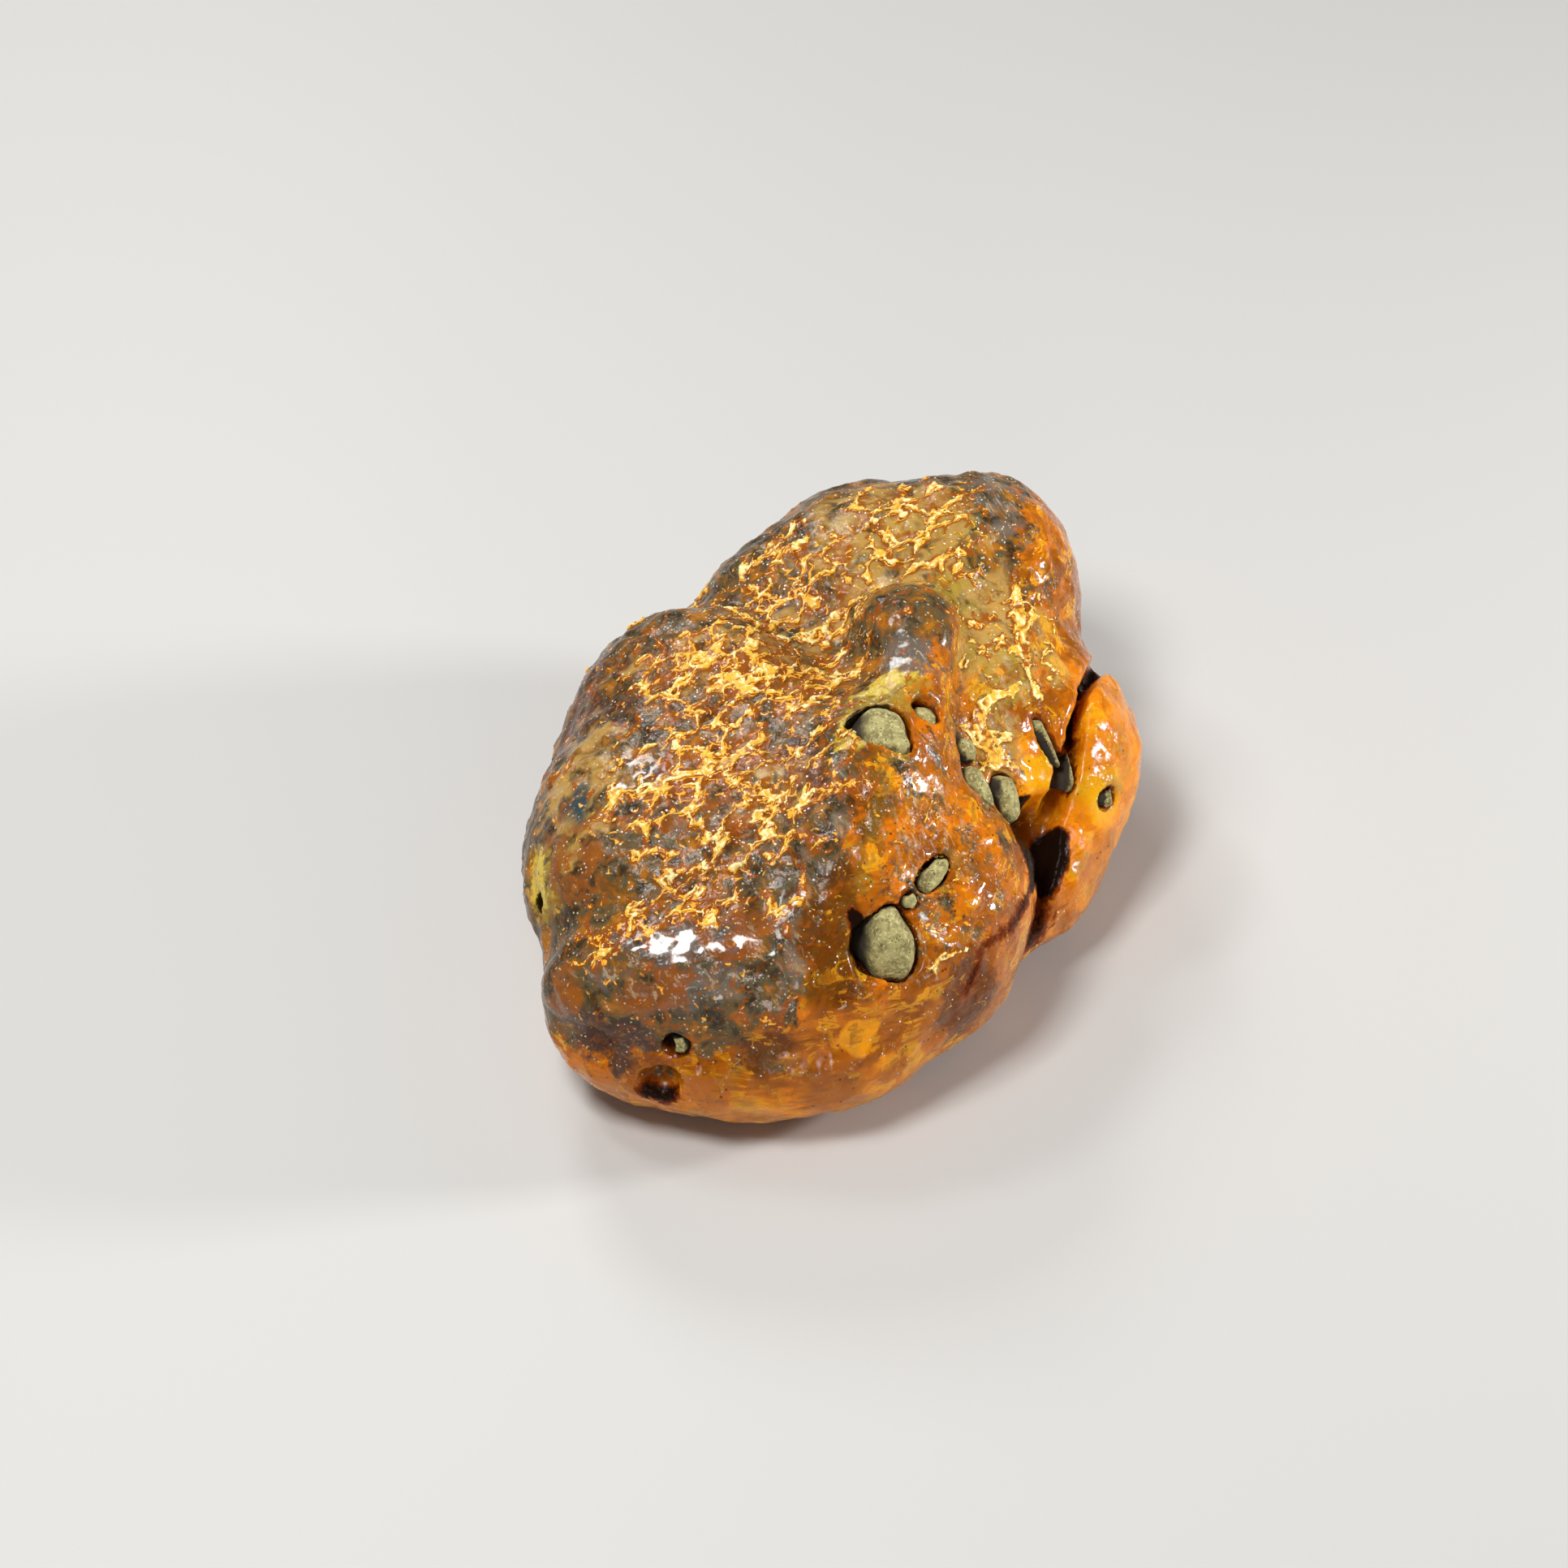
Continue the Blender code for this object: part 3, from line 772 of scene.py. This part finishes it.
class Mask(Enum):
    """What a patch of the skin is painted with."""

    CRUST = "crust"
    GILD = "gild"
    CLEAR = "clear"
    GLOW = "glow"
    SUN = "sun"
    SHADE = "shade"
    FIBRE = "fibre"
    RUST = "rust"
    SLATE = "slate"
    MOSS = "moss"
    TAN = "tan"
    ASH = "ash"
    PLUM = "plum"
    WET = "wet"
    # Painted shade, and some staining.
    SHADE_AND_STAIN = "soot"


@dataclass(frozen=True)
class Patch:
    """An oval patch round a place on the skin, fading out over its outer `fade` share, in millimetres."""

    centre: Point
    radii: Point
    strength: float = 1.0
    fade: float = 0.6


@dataclass(frozen=True)
class Trail:
    """A soft-edged crease, or a line of painted shade and staining, along a line of places, in millimetres."""

    path: tuple[Point, ...]
    width: float
    strength: float


SILT_NODES = (
    "plug_upper", "chip_upper", "plug_lower", "bead", "seam", "plug_crevice_right", "plug_crevice_left",
    "chip_crevice", "sliver_shoulder", "sliver_cleft", "plug_front", "chip_left", "speck_lobe",
)

RIDGE_LINE = (
    (-5.0, -42, -4), (-4.0, -38, 6), (-3.1, -34, 13), (-3.1, -30.9, 17.2), (-1.5, -27, 21.1),
    (0.7, -21.7, 25.4), (2.1, -15, 28.6), (3.2, -9.9, 30), (7.2, -3.4, 30), (10.2, 4.2, 28),
    (11.2, 11.2, 27.5), (13.7, 17.2, 28), (16, 24, 26), (16, 32, 16),
)

PATCHES: dict[Mask, tuple[Patch, ...]] = {
    Mask.GILD: (
        Patch((-9, -13, 25), (16, 13, 9)), Patch((-13, -24.5, 22), (13, 3.5, 5)),
        Patch((-8, 0, 26), (16, 12, 9)), Patch((-3, 12, 26), (12, 12, 8), 0.95),
        Patch((7, 18, 28), (11, 10, 6), 0.85), Patch((13, 4, 25), (5, 8, 5), 0.6),
        Patch((13.5, -5, 23), (4, 7, 6), 0.75), Patch((17, 8, 23), (4, 10, 6), 0.7),
        Patch((18.5, 12, 23.5), (3, 4, 4), 0.75), Patch((-20, -27, 17), (4, 3, 4), 0.85),
        Patch((7.5, -26, 18), (4, 4, 5), 0.7), Patch((8, -17, 24), (6, 8, 5), 0.5),
        Patch((25.5, 0, 18), (3, 5, 4), 0.5), Patch((-16, 16, 17), (12, 13, 11), 0.55),
    ),
    Mask.CLEAR: (
        Patch((-4, -32, 6), (24, 10, 9)), Patch((23, 0, 10), (10, 17, 12)),
        Patch((9, -22, 12), (12, 16, 10), 0.8),
    ),
    Mask.GLOW: (
        Patch((0, -33, 4), (26, 12, 7)), Patch((24, 0, 12), (8, 17, 12)), Patch((16, -4, 18), (5, 6, 5)),
    ),
    Mask.SHADE: (
        Patch((-6, -35, 13), (13, 5, 5)), Patch((0, -26, 20), (5, 9, 9)),
        Patch((3, -16, 27), (4, 9, 5), 0.7), Patch((11, -25, 12), (5, 6, 8), 0.9),
        Patch((20, 18, 18), (6, 14, 12), 0.6),
    ),
    Mask.SUN: (
        Patch((2.1, -30.7, 12.6), (2.4, 2.6, 3.0)), Patch((6.7, -29, 8.6), (1.6, 2.4, 3.4)),
        Patch((4.3, -30.3, 9.6), (2.0, 2.2, 1.6), 0.8), Patch((24.3, -4, 15), (4, 6, 4.5)),
        Patch((17.8, -3.6, 18.5), (2.6, 3, 2.6)), Patch((-26.2, -16, 17), (1.6, 4.5, 4)),
        Patch((3.2, -3.7, 29.5), (5.2, 2.6, 4), 0.9), Patch((0.9, -11, 29), (2.3, 5, 4), 0.85),
    ),
    Mask.FIBRE: (
        Patch((14, -6, 23), (5, 8, 6)), Patch((8.2, -27, 17.5), (4, 4, 4)),
        Patch((8, -17, 24), (6, 9, 5), 0.8), Patch((14, 8, 25), (6, 12, 6), 0.7),
    ),
    Mask.RUST: (
        Patch((-9, -26.5, 21), (7, 3, 3)), Patch((-14.5, -30, 17), (7, 3, 3)),
        Patch((-22, -16, 20), (6, 9, 6), 0.8), Patch((-23.5, -28, 15), (4, 4, 4), 0.8),
        Patch((-8, 0, 27), (5, 5, 4), 0.7),
    ),
    Mask.SLATE: (
        Patch((-10.4, -26.5, 22.3), (3.0, 1.8, 2)), Patch((-22.5, -12, 22), (2.4, 3.5, 2.5)),
        Patch((-15, -11, 25.5), (2.6, 2.6, 2)), Patch((-2.5, 7, 26.5), (2.5, 2.5, 2)),
    ),
    Mask.MOSS: (
        Patch((4, -5.5, 29.5), (6, 4.5, 5)), Patch((0.5, 15, 27.5), (9, 6, 5), 0.5),
        Patch((8.5, 17, 28.5), (7, 6, 4), 0.55), Patch((11, 8.5, 27.5), (4, 8, 4), 0.75),
        Patch((14, 3, 24), (4, 8, 5), 0.7), Patch((-5, -36, 12), (8, 5, 4), 0.8),
        Patch((-26, -17, 17), (3, 6, 5), 0.9), Patch((-6, -16, 26), (6, 7, 4), 0.5),
    ),
    Mask.TAN: (
        Patch((5, 17, 28), (12, 12, 7), 0.85), Patch((-10, 3, 25), (12, 8, 8), 0.55),
        Patch((-2, 8, 27), (8, 6, 5), 0.6), Patch((14, 7, 25), (6, 13, 6), 0.9),
        Patch((18, 9, 22), (4, 9, 6), 0.7), Patch((-21, -10, 20), (6, 14, 9), 0.75),
        Patch((-7, -13, 27), (7, 7, 4), 0.4), Patch((15, -5, 22), (4, 8, 6), 0.8),
    ),
    Mask.ASH: (
        Patch((6, -1.2, 30), (5.5, 4.5, 4)), Patch((-14, -29, 19), (12, 5, 5), 0.7),
        Patch((-12, -8, 25), (15, 14, 8), 0.35), Patch((-5, 10, 25), (12, 12, 7), 0.4),
        Patch((14, 22, 27), (6, 7, 5), 0.7),
    ),
    Mask.PLUM: (
        Patch((-3, -14, 27), (4, 9, 4), 0.9), Patch((-20, -31, 11), (8, 6, 6), 0.9),
        Patch((-14, -28, 20), (12, 5, 4), 0.7), Patch((-20, 0, 20), (10, 16, 8), 0.7),
    ),
    Mask.WET: (
        Patch((-13, -29, 19), (13, 5, 6)), Patch((6, 1, 30), (5, 5, 4), 0.8),
        Patch((-17, -11, 24.5), (4.5, 4, 4)), Patch((-6, -25, 24), (5, 3, 3), 0.8),
    ),
    # Painted shade in the cavity, below it, beside the lower plug, and low at the front left.
    Mask.SHADE_AND_STAIN: (
        Patch((17.4, -9.6, 14.5), (4.6, 5.6, 5.4), 1.0, 0.3),
        Patch((17.5, -14, 9.5), (3.4, 5, 5), 0.72, 0.8),
        Patch((2.5, -26.2, 20.2), (1.5, 2.4, 2.8), 1.0, 0.5),
        Patch((-14.9, -31.2, 6.9), (3.2, 2.6, 2.4), 0.8, 0.8),
    ),
}

FOLDS: tuple[Trail, ...] = (
    Trail(((-17.5, -13.5, 24), (-14.7, -12, 25.1), (-11.1, -11.5, 25.6), (-9.1, -10.3, 26)), 0.4, 0.8),
    Trail(
        ((15.8, 14.5, 25.5), (16.1, 10.9, 24.4), (16.6, 7.5, 23.7), (17, 4.3, 23), (17.4, 2.2, 22.2)),
        0.6, 1.3,
    ),
    Trail(
        ((15.9, 2.7, 23.1), (14, 0.9, 23.3), (12.2, -1.3, 23.4), (12.9, -3.3, 21.9), (13.9, -4.6, 20.8)),
        0.7, 1.3,
    ),
    Trail(((12.2, -1.3, 23.4), (11.6, -4.5, 22.8), (12.2, -7.5, 21)), 0.5, 0.9),
    Trail(((9.5, -23, 19), (8, -26, 18.4), (6.4, -28, 17)), 0.5, 0.8),
    Trail(((25.5, 2, 18), (26.2, -0.5, 17.5), (25.3, -2.5, 17)), 0.4, 0.9),
)

# Painted shade along the cleft, and a dark stained line running down from the cavity.
SHADE_AND_STAIN_TRAILS: tuple[Trail, ...] = (
    Trail(((23, 13.8, 14.7), (21.5, 8.4, 17), (20.7, 4.2, 17), (19.6, -1.5, 18)), 1.0, 0.9),
    Trail(
        ((17, -12.5, 15), (16.5, -16, 15), (14.7, -19.7, 15.4), (12.4, -23.1, 15.4), (11, -25.6, 13)),
        1.0, 0.7,
    ),
)


@dataclass
class FlakeNet:
    """The net that the torn skin follows: rounded cells, stretched and curled, with webs at their corners."""

    cell: float = 2.0
    web: float = 0.85
    grain: Point = (0.62, 0.78, 0.0)
    stretch: float = 0.40
    level: float = 0.50
    thinning: float = 0.95

    def at(self, points: Array, gild: Array) -> Array:
        """Measures the net.

        Args:
            points: the places to measure at, in millimetres.
            gild: how thickly the flakes stand there, from 0 to 1.

        Returns:
            A height that is over 0 inside a flake.
        """
        curled = warped(warped(points, 3.2, 1.6, 1), 0.9, 0.24, 5)
        grain = np.array(self.grain)
        drawn = curled - self.stretch * (curled @ grain)[:, None] * grain
        first, second = near_spots(drawn, self.cell, 3)
        small, next_small = near_spots(warped(drawn, 0.6, 0.15, 9), self.web, 4)
        mottle = fractal(points, 1.6, 3, 21)
        line = 1.0 - soft_step(second - first - 0.10 * mottle, 0.03, 0.20)
        arm = line * (0.25 + 0.75 * soft_step(first, 0.40, 0.72))
        corner = soft_step(first + 0.08 * mottle, 0.62, 0.92)
        thread = 1.0 - soft_step(next_small - small, 0.02, 0.18)
        rise = np.maximum(arm, corner) + 0.4 * thread * soft_step(first, 0.45, 0.65)
        rise += 0.35 * mottle + 0.42 * fractal(points, 4.5, 2, 31)
        for fold in FOLDS:
            away, _ = path_offset(curled * 0.35 + points * 0.65, fold.path)
            rise += fold.strength * bell(away, fold.width)
        return rise - self.level - self.thinning * (1.0 - gild)


@dataclass
class Nugget:
    """The lump of resin: its skin, worked from the solid, and its masks."""

    node: str = "amber_nugget"
    voxel: float = 0.365
    ease_passes: int = 9
    hollow_passes: int = 60
    lumps: tuple[tuple[float, float], ...] = ((6.0, 0.40), (2.6, 0.26), (1.2, 0.10))
    cell_size: float = 2.3
    foot: float = 0.3
    brow: Point = (-4.0, -37.0, 8.0)
    brow_reach: Point = (17.0, 8.0, 8.5)
    finish: AmberFinish = field(default_factory=AmberFinish)

    def paint(self, points: Array) -> dict[Mask, Array]:
        """Works out every mask on the skin.

        Args:
            points: the skin, in millimetres.

        Returns:
            One value a point for each mask, from 0 to 1.
        """
        masks = {mask: np.zeros(len(points)) for mask in Mask}
        bent = warped(points, 4.0, 1.8, 51)
        for mask, patches in PATCHES.items():
            for patch in patches:
                away = np.linalg.norm((bent - np.array(patch.centre)) / np.array(patch.radii), axis=1)
                masks[mask] = np.maximum(masks[mask], patch.strength * soft_step(away, 1.0, 1.0 - patch.fade))
        # Painted shade and staining along the trails.
        for dark_trail in SHADE_AND_STAIN_TRAILS:
            away, _ = path_offset(bent * 0.4 + points * 0.6, dark_trail.path)
            masks[Mask.SHADE_AND_STAIN] = np.maximum(masks[Mask.SHADE_AND_STAIN], dark_trail.strength * bell(away, dark_trail.width))
        _, right = path_offset(bent, RIDGE_LINE)
        across, away, up = bent.T
        face = np.linalg.norm((bent - np.array(self.brow)) / np.array(self.brow_reach), axis=1)
        cheek = 0.42 * soft_step(up, 12.0, 20.0) * soft_step(across, 20.0, 15.0)
        cheek += 0.25 * soft_step(up, 18.0, 25.0) * soft_step(away, 2.0, 10.0)
        crust = np.maximum(soft_step(-right, -3.4, 2.6), cheek) * soft_step(up, 5.0, 13.0)
        crust *= 1.0 - 0.6 * soft_step(face, 1.15, 0.9)
        crust *= 1.0 - 0.9 * masks[Mask.SUN] * soft_step(up, 16.0, 14.0)
        back = soft_step(away, 8.0, 24.0) * soft_step(up, 25.0, 17.0)
        masks[Mask.CRUST] = crust * (1.0 - 0.45 * back)
        masks[Mask.CLEAR] = np.maximum(masks[Mask.CLEAR], 0.7 * back)
        front = soft_step(away, -6.0, -12.0) * soft_step(up, 15.0, 18.0)
        masks[Mask.MOSS] = np.maximum(masks[Mask.MOSS], 0.7 * front * bell(right - 1.8, 2.0))
        masks[Mask.ASH] = np.maximum(masks[Mask.ASH], 0.5 * front * bell(right + 1.8, 2.2))
        return masks

    def hollows(self, fabric: Fabric, facing: Array) -> Array:
        """How far each point of the skin lies in a hollow.

        Args:
            fabric: the skin.
            facing: the direction that it faces at each point.

        Returns:
            The depth below a much smoothed skin, in millimetres.
        """
        smooth = fabric.points.copy()
        for _ in range(self.hollow_passes):
            smooth = fabric.smoothed(smooth)
        return ((smooth - fabric.points) * facing).sum(axis=1)

    def silt_distance(self, points: Array) -> Array:
        """How far points lie from the nearest silt.

        Args:
            points: the points, in millimetres.

        Returns:
            The distances.
        """
        spots = [vertex.co / MM for node in SILT_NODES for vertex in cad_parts[node].data.vertices]
        tree = kdtree.KDTree(len(spots))
        for index, spot in enumerate(spots):
            tree.insert(spot, index)
        tree.balance()
        return np.array([tree.find(row)[2] for row in points.tolist()])

    def build(self) -> tuple[bpy.types.Object, Fabric, Array]:
        """Makes the skin.

        Returns:
            The piece, its mesh, and how thickly flakes stand at each of its points.
        """
        fabric = Fabric(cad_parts[self.node], self.voxel)
        ground = fabric.points[:, 2] < self.foot
        fabric.ease(self.ease_passes)
        start = fabric.rest = fabric.points.copy()
        facing = fabric.normals()
        masks = self.paint(start)
        hollow = self.hollows(fabric, facing)
        # Painted shade in the hollows of the skin, darker the deeper they are.
        masks[Mask.SHADE_AND_STAIN] = np.maximum(masks[Mask.SHADE_AND_STAIN], soft_step(hollow, 0.5, 1.7))
        net = FlakeNet().at(start, masks[Mask.GILD])
        cells, _ = near_spots(warped(start, 3.2, 1.2, 71), self.cell_size, 72)
        rise = np.zeros(len(start))
        calm = 1.0 - 0.35 * masks[Mask.WET]
        for seed, (size, height) in enumerate(self.lumps):
            rise += height * fractal(start, size, 3, 80 + seed) * (calm if seed else 1.0)
        crust = masks[Mask.CRUST]
        rise += calm * (0.14 + 0.22 * crust) * (0.5 - cells) + 0.10 * crust * soft_step(net, -0.4, 0.1)
        rise -= 0.16 * masks[Mask.GILD] * bell(net + 0.35, 0.14)
        fabric.points = start + facing * rise[:, None]
        fabric.points[:, 2] = np.where(ground, 0.0, np.maximum(fabric.points[:, 2], 0.0))
        for mask, values in masks.items():
            fabric.store(mask.value, values)
        fabric.store("net", net)
        # Painted shade in a ring round the silt, strongest where the skin meets it.
        fabric.store("rim", soft_step(self.silt_distance(fabric.points), 0.95, 0.35))
        return fabric.piece("amber_skin", self.node, self.finish.make()), fabric, masks[Mask.GILD]


@dataclass
class Sheet:
    """A triangle mesh held as arrays while flakes are cut out of it.

    Each row of `faces` is three point numbers, and each row of `layers` is what one point carries.
    """

    faces: Array
    layers: Array
    nearest_cut: float = 0.08

    def pack(self) -> None:
        """Leaves out the points that no triangle uses."""
        used, index = np.unique(self.faces, return_inverse=True)
        self.faces = index.reshape(-1, 3)
        self.layers = self.layers[used]

    def edges(self, chosen: Array) -> tuple[Array, Array]:
        """Numbers edges, from the first number that no point has.

        Args:
            chosen: which of the three edges of each triangle are wanted.

        Returns:
            The two ends of each edge, and the edge's number for each side of each triangle.
        """
        sides = np.sort(np.stack([self.faces, np.roll(self.faces, -1, axis=1)], axis=2), axis=2)
        ends, number = np.unique(sides[chosen], axis=0, return_inverse=True)
        numbers = np.full(self.faces.shape, -1)
        numbers[chosen] = number.reshape(-1) + len(self.layers)
        return ends, numbers

    def halve(self) -> None:
        """Cuts each triangle into four."""
        ends, numbers = self.edges(np.ones(self.faces.shape, bool))
        self.layers = np.concatenate([self.layers, self.layers[ends].mean(axis=1)])
        a, b, c = self.faces.T
        ab, bc, ca = numbers.T
        rows = ((a, ab, ca), (ab, b, bc), (ca, bc, c), (ab, bc, ca))
        self.faces = np.concatenate([np.stack(row, axis=1) for row in rows])

    def trim(self, height: Array) -> None:
        """Keeps the part where a height is over 0, cut cleanly along the line where it is 0.

        Args:
            height: the height at each point, which the points carry as their last number from here on.
        """
        above = height > 0
        ends, numbers = self.edges(above[self.faces] != above[np.roll(self.faces, -1, axis=1)])
        first, second = height[ends].T
        share = np.clip(first / (first - second), self.nearest_cut, 1 - self.nearest_cut)[:, None]
        cuts = self.layers[ends[:, 0]] * (1 - share) + self.layers[ends[:, 1]] * share
        height = np.concatenate([height, np.zeros(len(ends))])
        self.layers = np.column_stack([np.concatenate([self.layers, cuts]), height])
        count = above[self.faces].sum(axis=1)
        kept = [self.faces[count == 3]]
        for amount, sign in ((1, True), (2, False)):
            rows = self.faces[count == amount]
            order = (np.argmax(above[rows] == sign, axis=1)[:, None] + np.arange(3)) % 3
            a, b, c = np.take_along_axis(rows, order, axis=1).T
            ab, _, ca = np.take_along_axis(numbers[count == amount], order, axis=1).T
            if amount == 1:
                kept.append(np.stack([a, ab, ca], axis=1))
            else:
                kept += [np.stack([ab, b, c], axis=1), np.stack([ab, c, ca], axis=1)]
        self.faces = np.concatenate(kept)
        self.pack()

    def drop_crumbs(self, least: int) -> None:
        """Leaves out small islands.

        Args:
            least: the fewest triangles of an island that stays.
        """
        label = np.arange(len(self.layers))
        while True:
            lowest = label[self.faces].min(axis=1)
            fresh = label.copy()
            for side in range(3):
                np.minimum.at(fresh, self.faces[:, side], lowest)
            fresh = fresh[fresh]
            if (fresh == label).all():
                break
            label = fresh
        island = label[self.faces[:, 0]]
        self.faces = self.faces[np.bincount(island)[island] >= least]
        self.pack()


@dataclass
class TornFlakes:
    """Golden flakes of torn skin that stand on the crust: closed, thin and raised along their middles."""

    lift: float = 0.28
    soften: float = 0.17
    sink: float = 0.05
    depth: float = 0.10
    crease: float = 1.1
    pit: float = 0.6
    thinnest: float = 0.04
    least: int = 14
    finish: FlakeFinish = field(default_factory=FlakeFinish)

    def build(self, fabric: Fabric, gild: Array) -> bpy.types.Object:
        """Cuts the flakes out of a finer copy of the skin.

        Args:
            fabric: the skin.
            gild: how thickly the flakes stand at each of its points.

        Returns:
            The piece.
        """
        mesh = fabric.mesh
        mesh.calc_loop_triangles()
        triangles = np.empty(len(mesh.loop_triangles) * 3, np.int64)
        mesh.loop_triangles.foreach_get("vertices", triangles)
        triangles = triangles.reshape(-1, 3)
        triangles = triangles[(gild[triangles] > self.thinnest).all(axis=1)]
        sheet = Sheet(triangles, np.column_stack([fabric.points, fabric.rest, fabric.normals(), gild]))
        sheet.pack()
        sheet.halve()
        sheet.trim(FlakeNet().at(sheet.layers[:, 3:6], sheet.layers[:, 9]))
        sheet.drop_crumbs(self.least)
        place, rest, facing = sheet.layers[:, :3], sheet.layers[:, 3:6], sheet.layers[:, 6:9]
        height = sheet.layers[:, 10]
        creases = np.abs(fractal(warped(rest, 0.9, 0.5, 95), self.crease, 2, 98))
        crest = 1.0 - np.exp(-np.maximum(height, 0.0) / self.soften)
        crest *= (0.7 + 0.4 * soft_step(creases, 0.0, 0.3)) * (1.0 - self.pit * soft_step(height, 0.40, 0.75))
        facing = facing / np.linalg.norm(facing, axis=1)[:, None]
        top = place + facing * (self.lift * crest - self.sink)[:, None]
        low = top - facing * (self.depth + self.lift * crest)[:, None]
        inside = height > 1e-9
        moved = np.where(inside, np.cumsum(inside) - 1 + len(top), np.arange(len(top)))
        points = np.concatenate([top, low[inside]])
        faces = np.concatenate([sheet.faces, moved[sheet.faces][:, ::-1]])
        mesh = bpy.data.meshes.new("torn_flakes")
        mesh.from_pydata((points * MM).tolist(), [], faces.tolist())
        made = mesh.attributes.new("crest", "FLOAT", "POINT")
        # Painted shade: the underside is given no crest, so it takes the orange.
        made.data.foreach_set("value", np.concatenate([crest, 0.0 * crest[inside]]).astype(np.float32))
        mesh.materials.append(self.finish.make())
        mesh.shade_smooth()
        piece = stand("torn_flakes", mesh)
        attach(piece, "root")
        return piece


@dataclass
class Sediment:
    """The pieces of silt in the pits."""

    nodes: tuple[str, ...] = SILT_NODES
    detail: float = 26.0
    cap: float = 0.62
    sunk: float = 1.6
    ease_passes: int = 3
    heart: Point = (0.0, -4.0, 12.0)
    finish: SedimentFinish = field(default_factory=SedimentFinish)

    def build(self) -> list[bpy.types.Object]:
        """Makes each piece of silt from its solid.

        Returns:
            The pieces.
        """
        material = self.finish.make()
        made = []
        for node in self.nodes:
            low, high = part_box(node)
            fabric = Fabric(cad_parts[node], max(high - low) / MM / self.detail)
            fabric.ease(self.ease_passes)
            facing = fabric.normals()
            points = fabric.points
            middle = points.mean(axis=0)
            way = middle - np.array(self.heart)
            way /= np.linalg.norm(way)
            rise = 0.12 * fractal(points, 1.1, 4, 40) - 0.10 * np.abs(fractal(points, 2.0, 2, 44))
            rise += 0.26 * soft_step(facing[:, 0] + 0.4 * fractal(points, 2.5, 2, 49), 0.1, 0.7)
            points += facing * rise[:, None]
            height = (points - middle) @ way
            cap = self.cap * height.max() + 0.10 * fractal(points, 0.9, 3, 47)
            left = (middle[0] - points[:, 0]) / np.ptp(points[:, 0]) + 0.10 * fractal(points, 1.2, 3, 53)
            drop = np.maximum(height - cap, 0.0) * 0.85 + self.sunk * soft_step(left, 0.06, 0.40)
            # Painted shade on the sides that face away from the pit's mouth and on the sunk left side.
            buried = np.maximum(soft_step(facing @ way, 0.25, -0.05), soft_step(left, 0.12, 0.28))
            points -= drop[:, None] * way
            fabric.store("buried", buried)
            made.append(fabric.piece(node + "_silt", node, material))
        return made


# ---- Studio ----


@dataclass(frozen=True)
class Softbox:
    """A square area light that looks at the nugget."""

    name: str
    place: Point
    side: float
    power: float


@dataclass
class Studio:
    """The floor, the lights and the camera, in metres."""

    elevation: float = 42.0
    lens: float = 126.0
    distance: float = 0.483
    target: Point = (-0.00035, -0.00385, 0.016)
    shift: tuple[float, float] = (-0.0311, 0.0067)
    room: Colour = (1.0, 0.985, 0.96)
    room_strength: float = 0.12
    aim: Point = (0.0, 0.0, 0.012)
    reach: float = 3.0
    lights: tuple[Softbox, ...] = (
        Softbox("key_softbox", (-0.10, -0.13, 0.335), 0.10, 1.0),
        Softbox("back_softbox", (-0.12, 0.26, 0.24), 0.10, 0.45),
        Softbox("side_softbox", (0.33, 0.03, 0.12), 0.05, 0.95),
        Softbox("top_softbox", (-0.19, 0.085, 0.31), 0.06, 0.22),
        Softbox("front_softbox", (0.06, -0.42, 0.09), 0.08, 0.26),
    )

    def add_floor(self) -> None:
        """Lays the floor."""
        mesh = bpy.data.meshes.new("studio_floor")
        ends = [(x * self.reach, y * self.reach, 0.0) for x, y in ((-1, -1), (1, -1), (1, 1), (-1, 1))]
        mesh.from_pydata(ends, [], [(0, 1, 2, 3)])
        mesh.materials.append(FloorFinish().make())
        stand("studio_floor", mesh)

    def add_lights(self) -> None:
        """Hangs the softboxes and fills the room with plain light."""
        for box in self.lights:
            lamp = bpy.data.lights.new(box.name, "AREA")
            lamp.size = box.side
            lamp.energy = box.power
            made = stand(box.name, lamp)
            made.location = box.place
            towards = Vector(self.aim) - Vector(box.place)
            made.rotation_euler = towards.to_track_quat("-Z", "Y").to_euler()
        world = bpy.data.worlds.new("studio_room")
        world.use_nodes = True
        back = world.node_tree.nodes["Background"]
        back.inputs["Color"].default_value = (*self.room, 1.0)
        back.inputs["Strength"].default_value = self.room_strength
        bpy.context.scene.world = world

    def add_camera(self) -> None:
        """Sets up the camera."""
        lens = bpy.data.cameras.new("camera")
        lens.lens = self.lens
        lens.sensor_width = 36.0
        lens.clip_start = 0.01
        lens.shift_x, lens.shift_y = self.shift
        camera = stand("camera", lens)
        angle = math.radians(self.elevation)
        back = Vector((0.0, -math.cos(angle), math.sin(angle)))
        camera.location = Vector(self.target) + back * self.distance
        camera.rotation_euler = (-back).to_track_quat("-Z", "Y").to_euler()
        bpy.context.scene.camera = camera

    def build(self) -> None:
        """Sets up the whole studio."""
        self.add_camera()
        self.add_floor()
        self.add_lights()
        bpy.context.scene.view_settings.view_transform = "Standard"


def main() -> None:
    """Builds the studio, the nugget and its sediment."""
    logging.basicConfig(level=logging.INFO, format="%(message)s")
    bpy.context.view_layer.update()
    Studio().build()
    nugget, skin, gild = Nugget().build()
    for piece in (nugget, TornFlakes().build(skin, gild), *Sediment().build()):
        LOG.info("%s: %d faces", piece.name, len(piece.data.polygons))


if __name__ == "__main__":
    main()
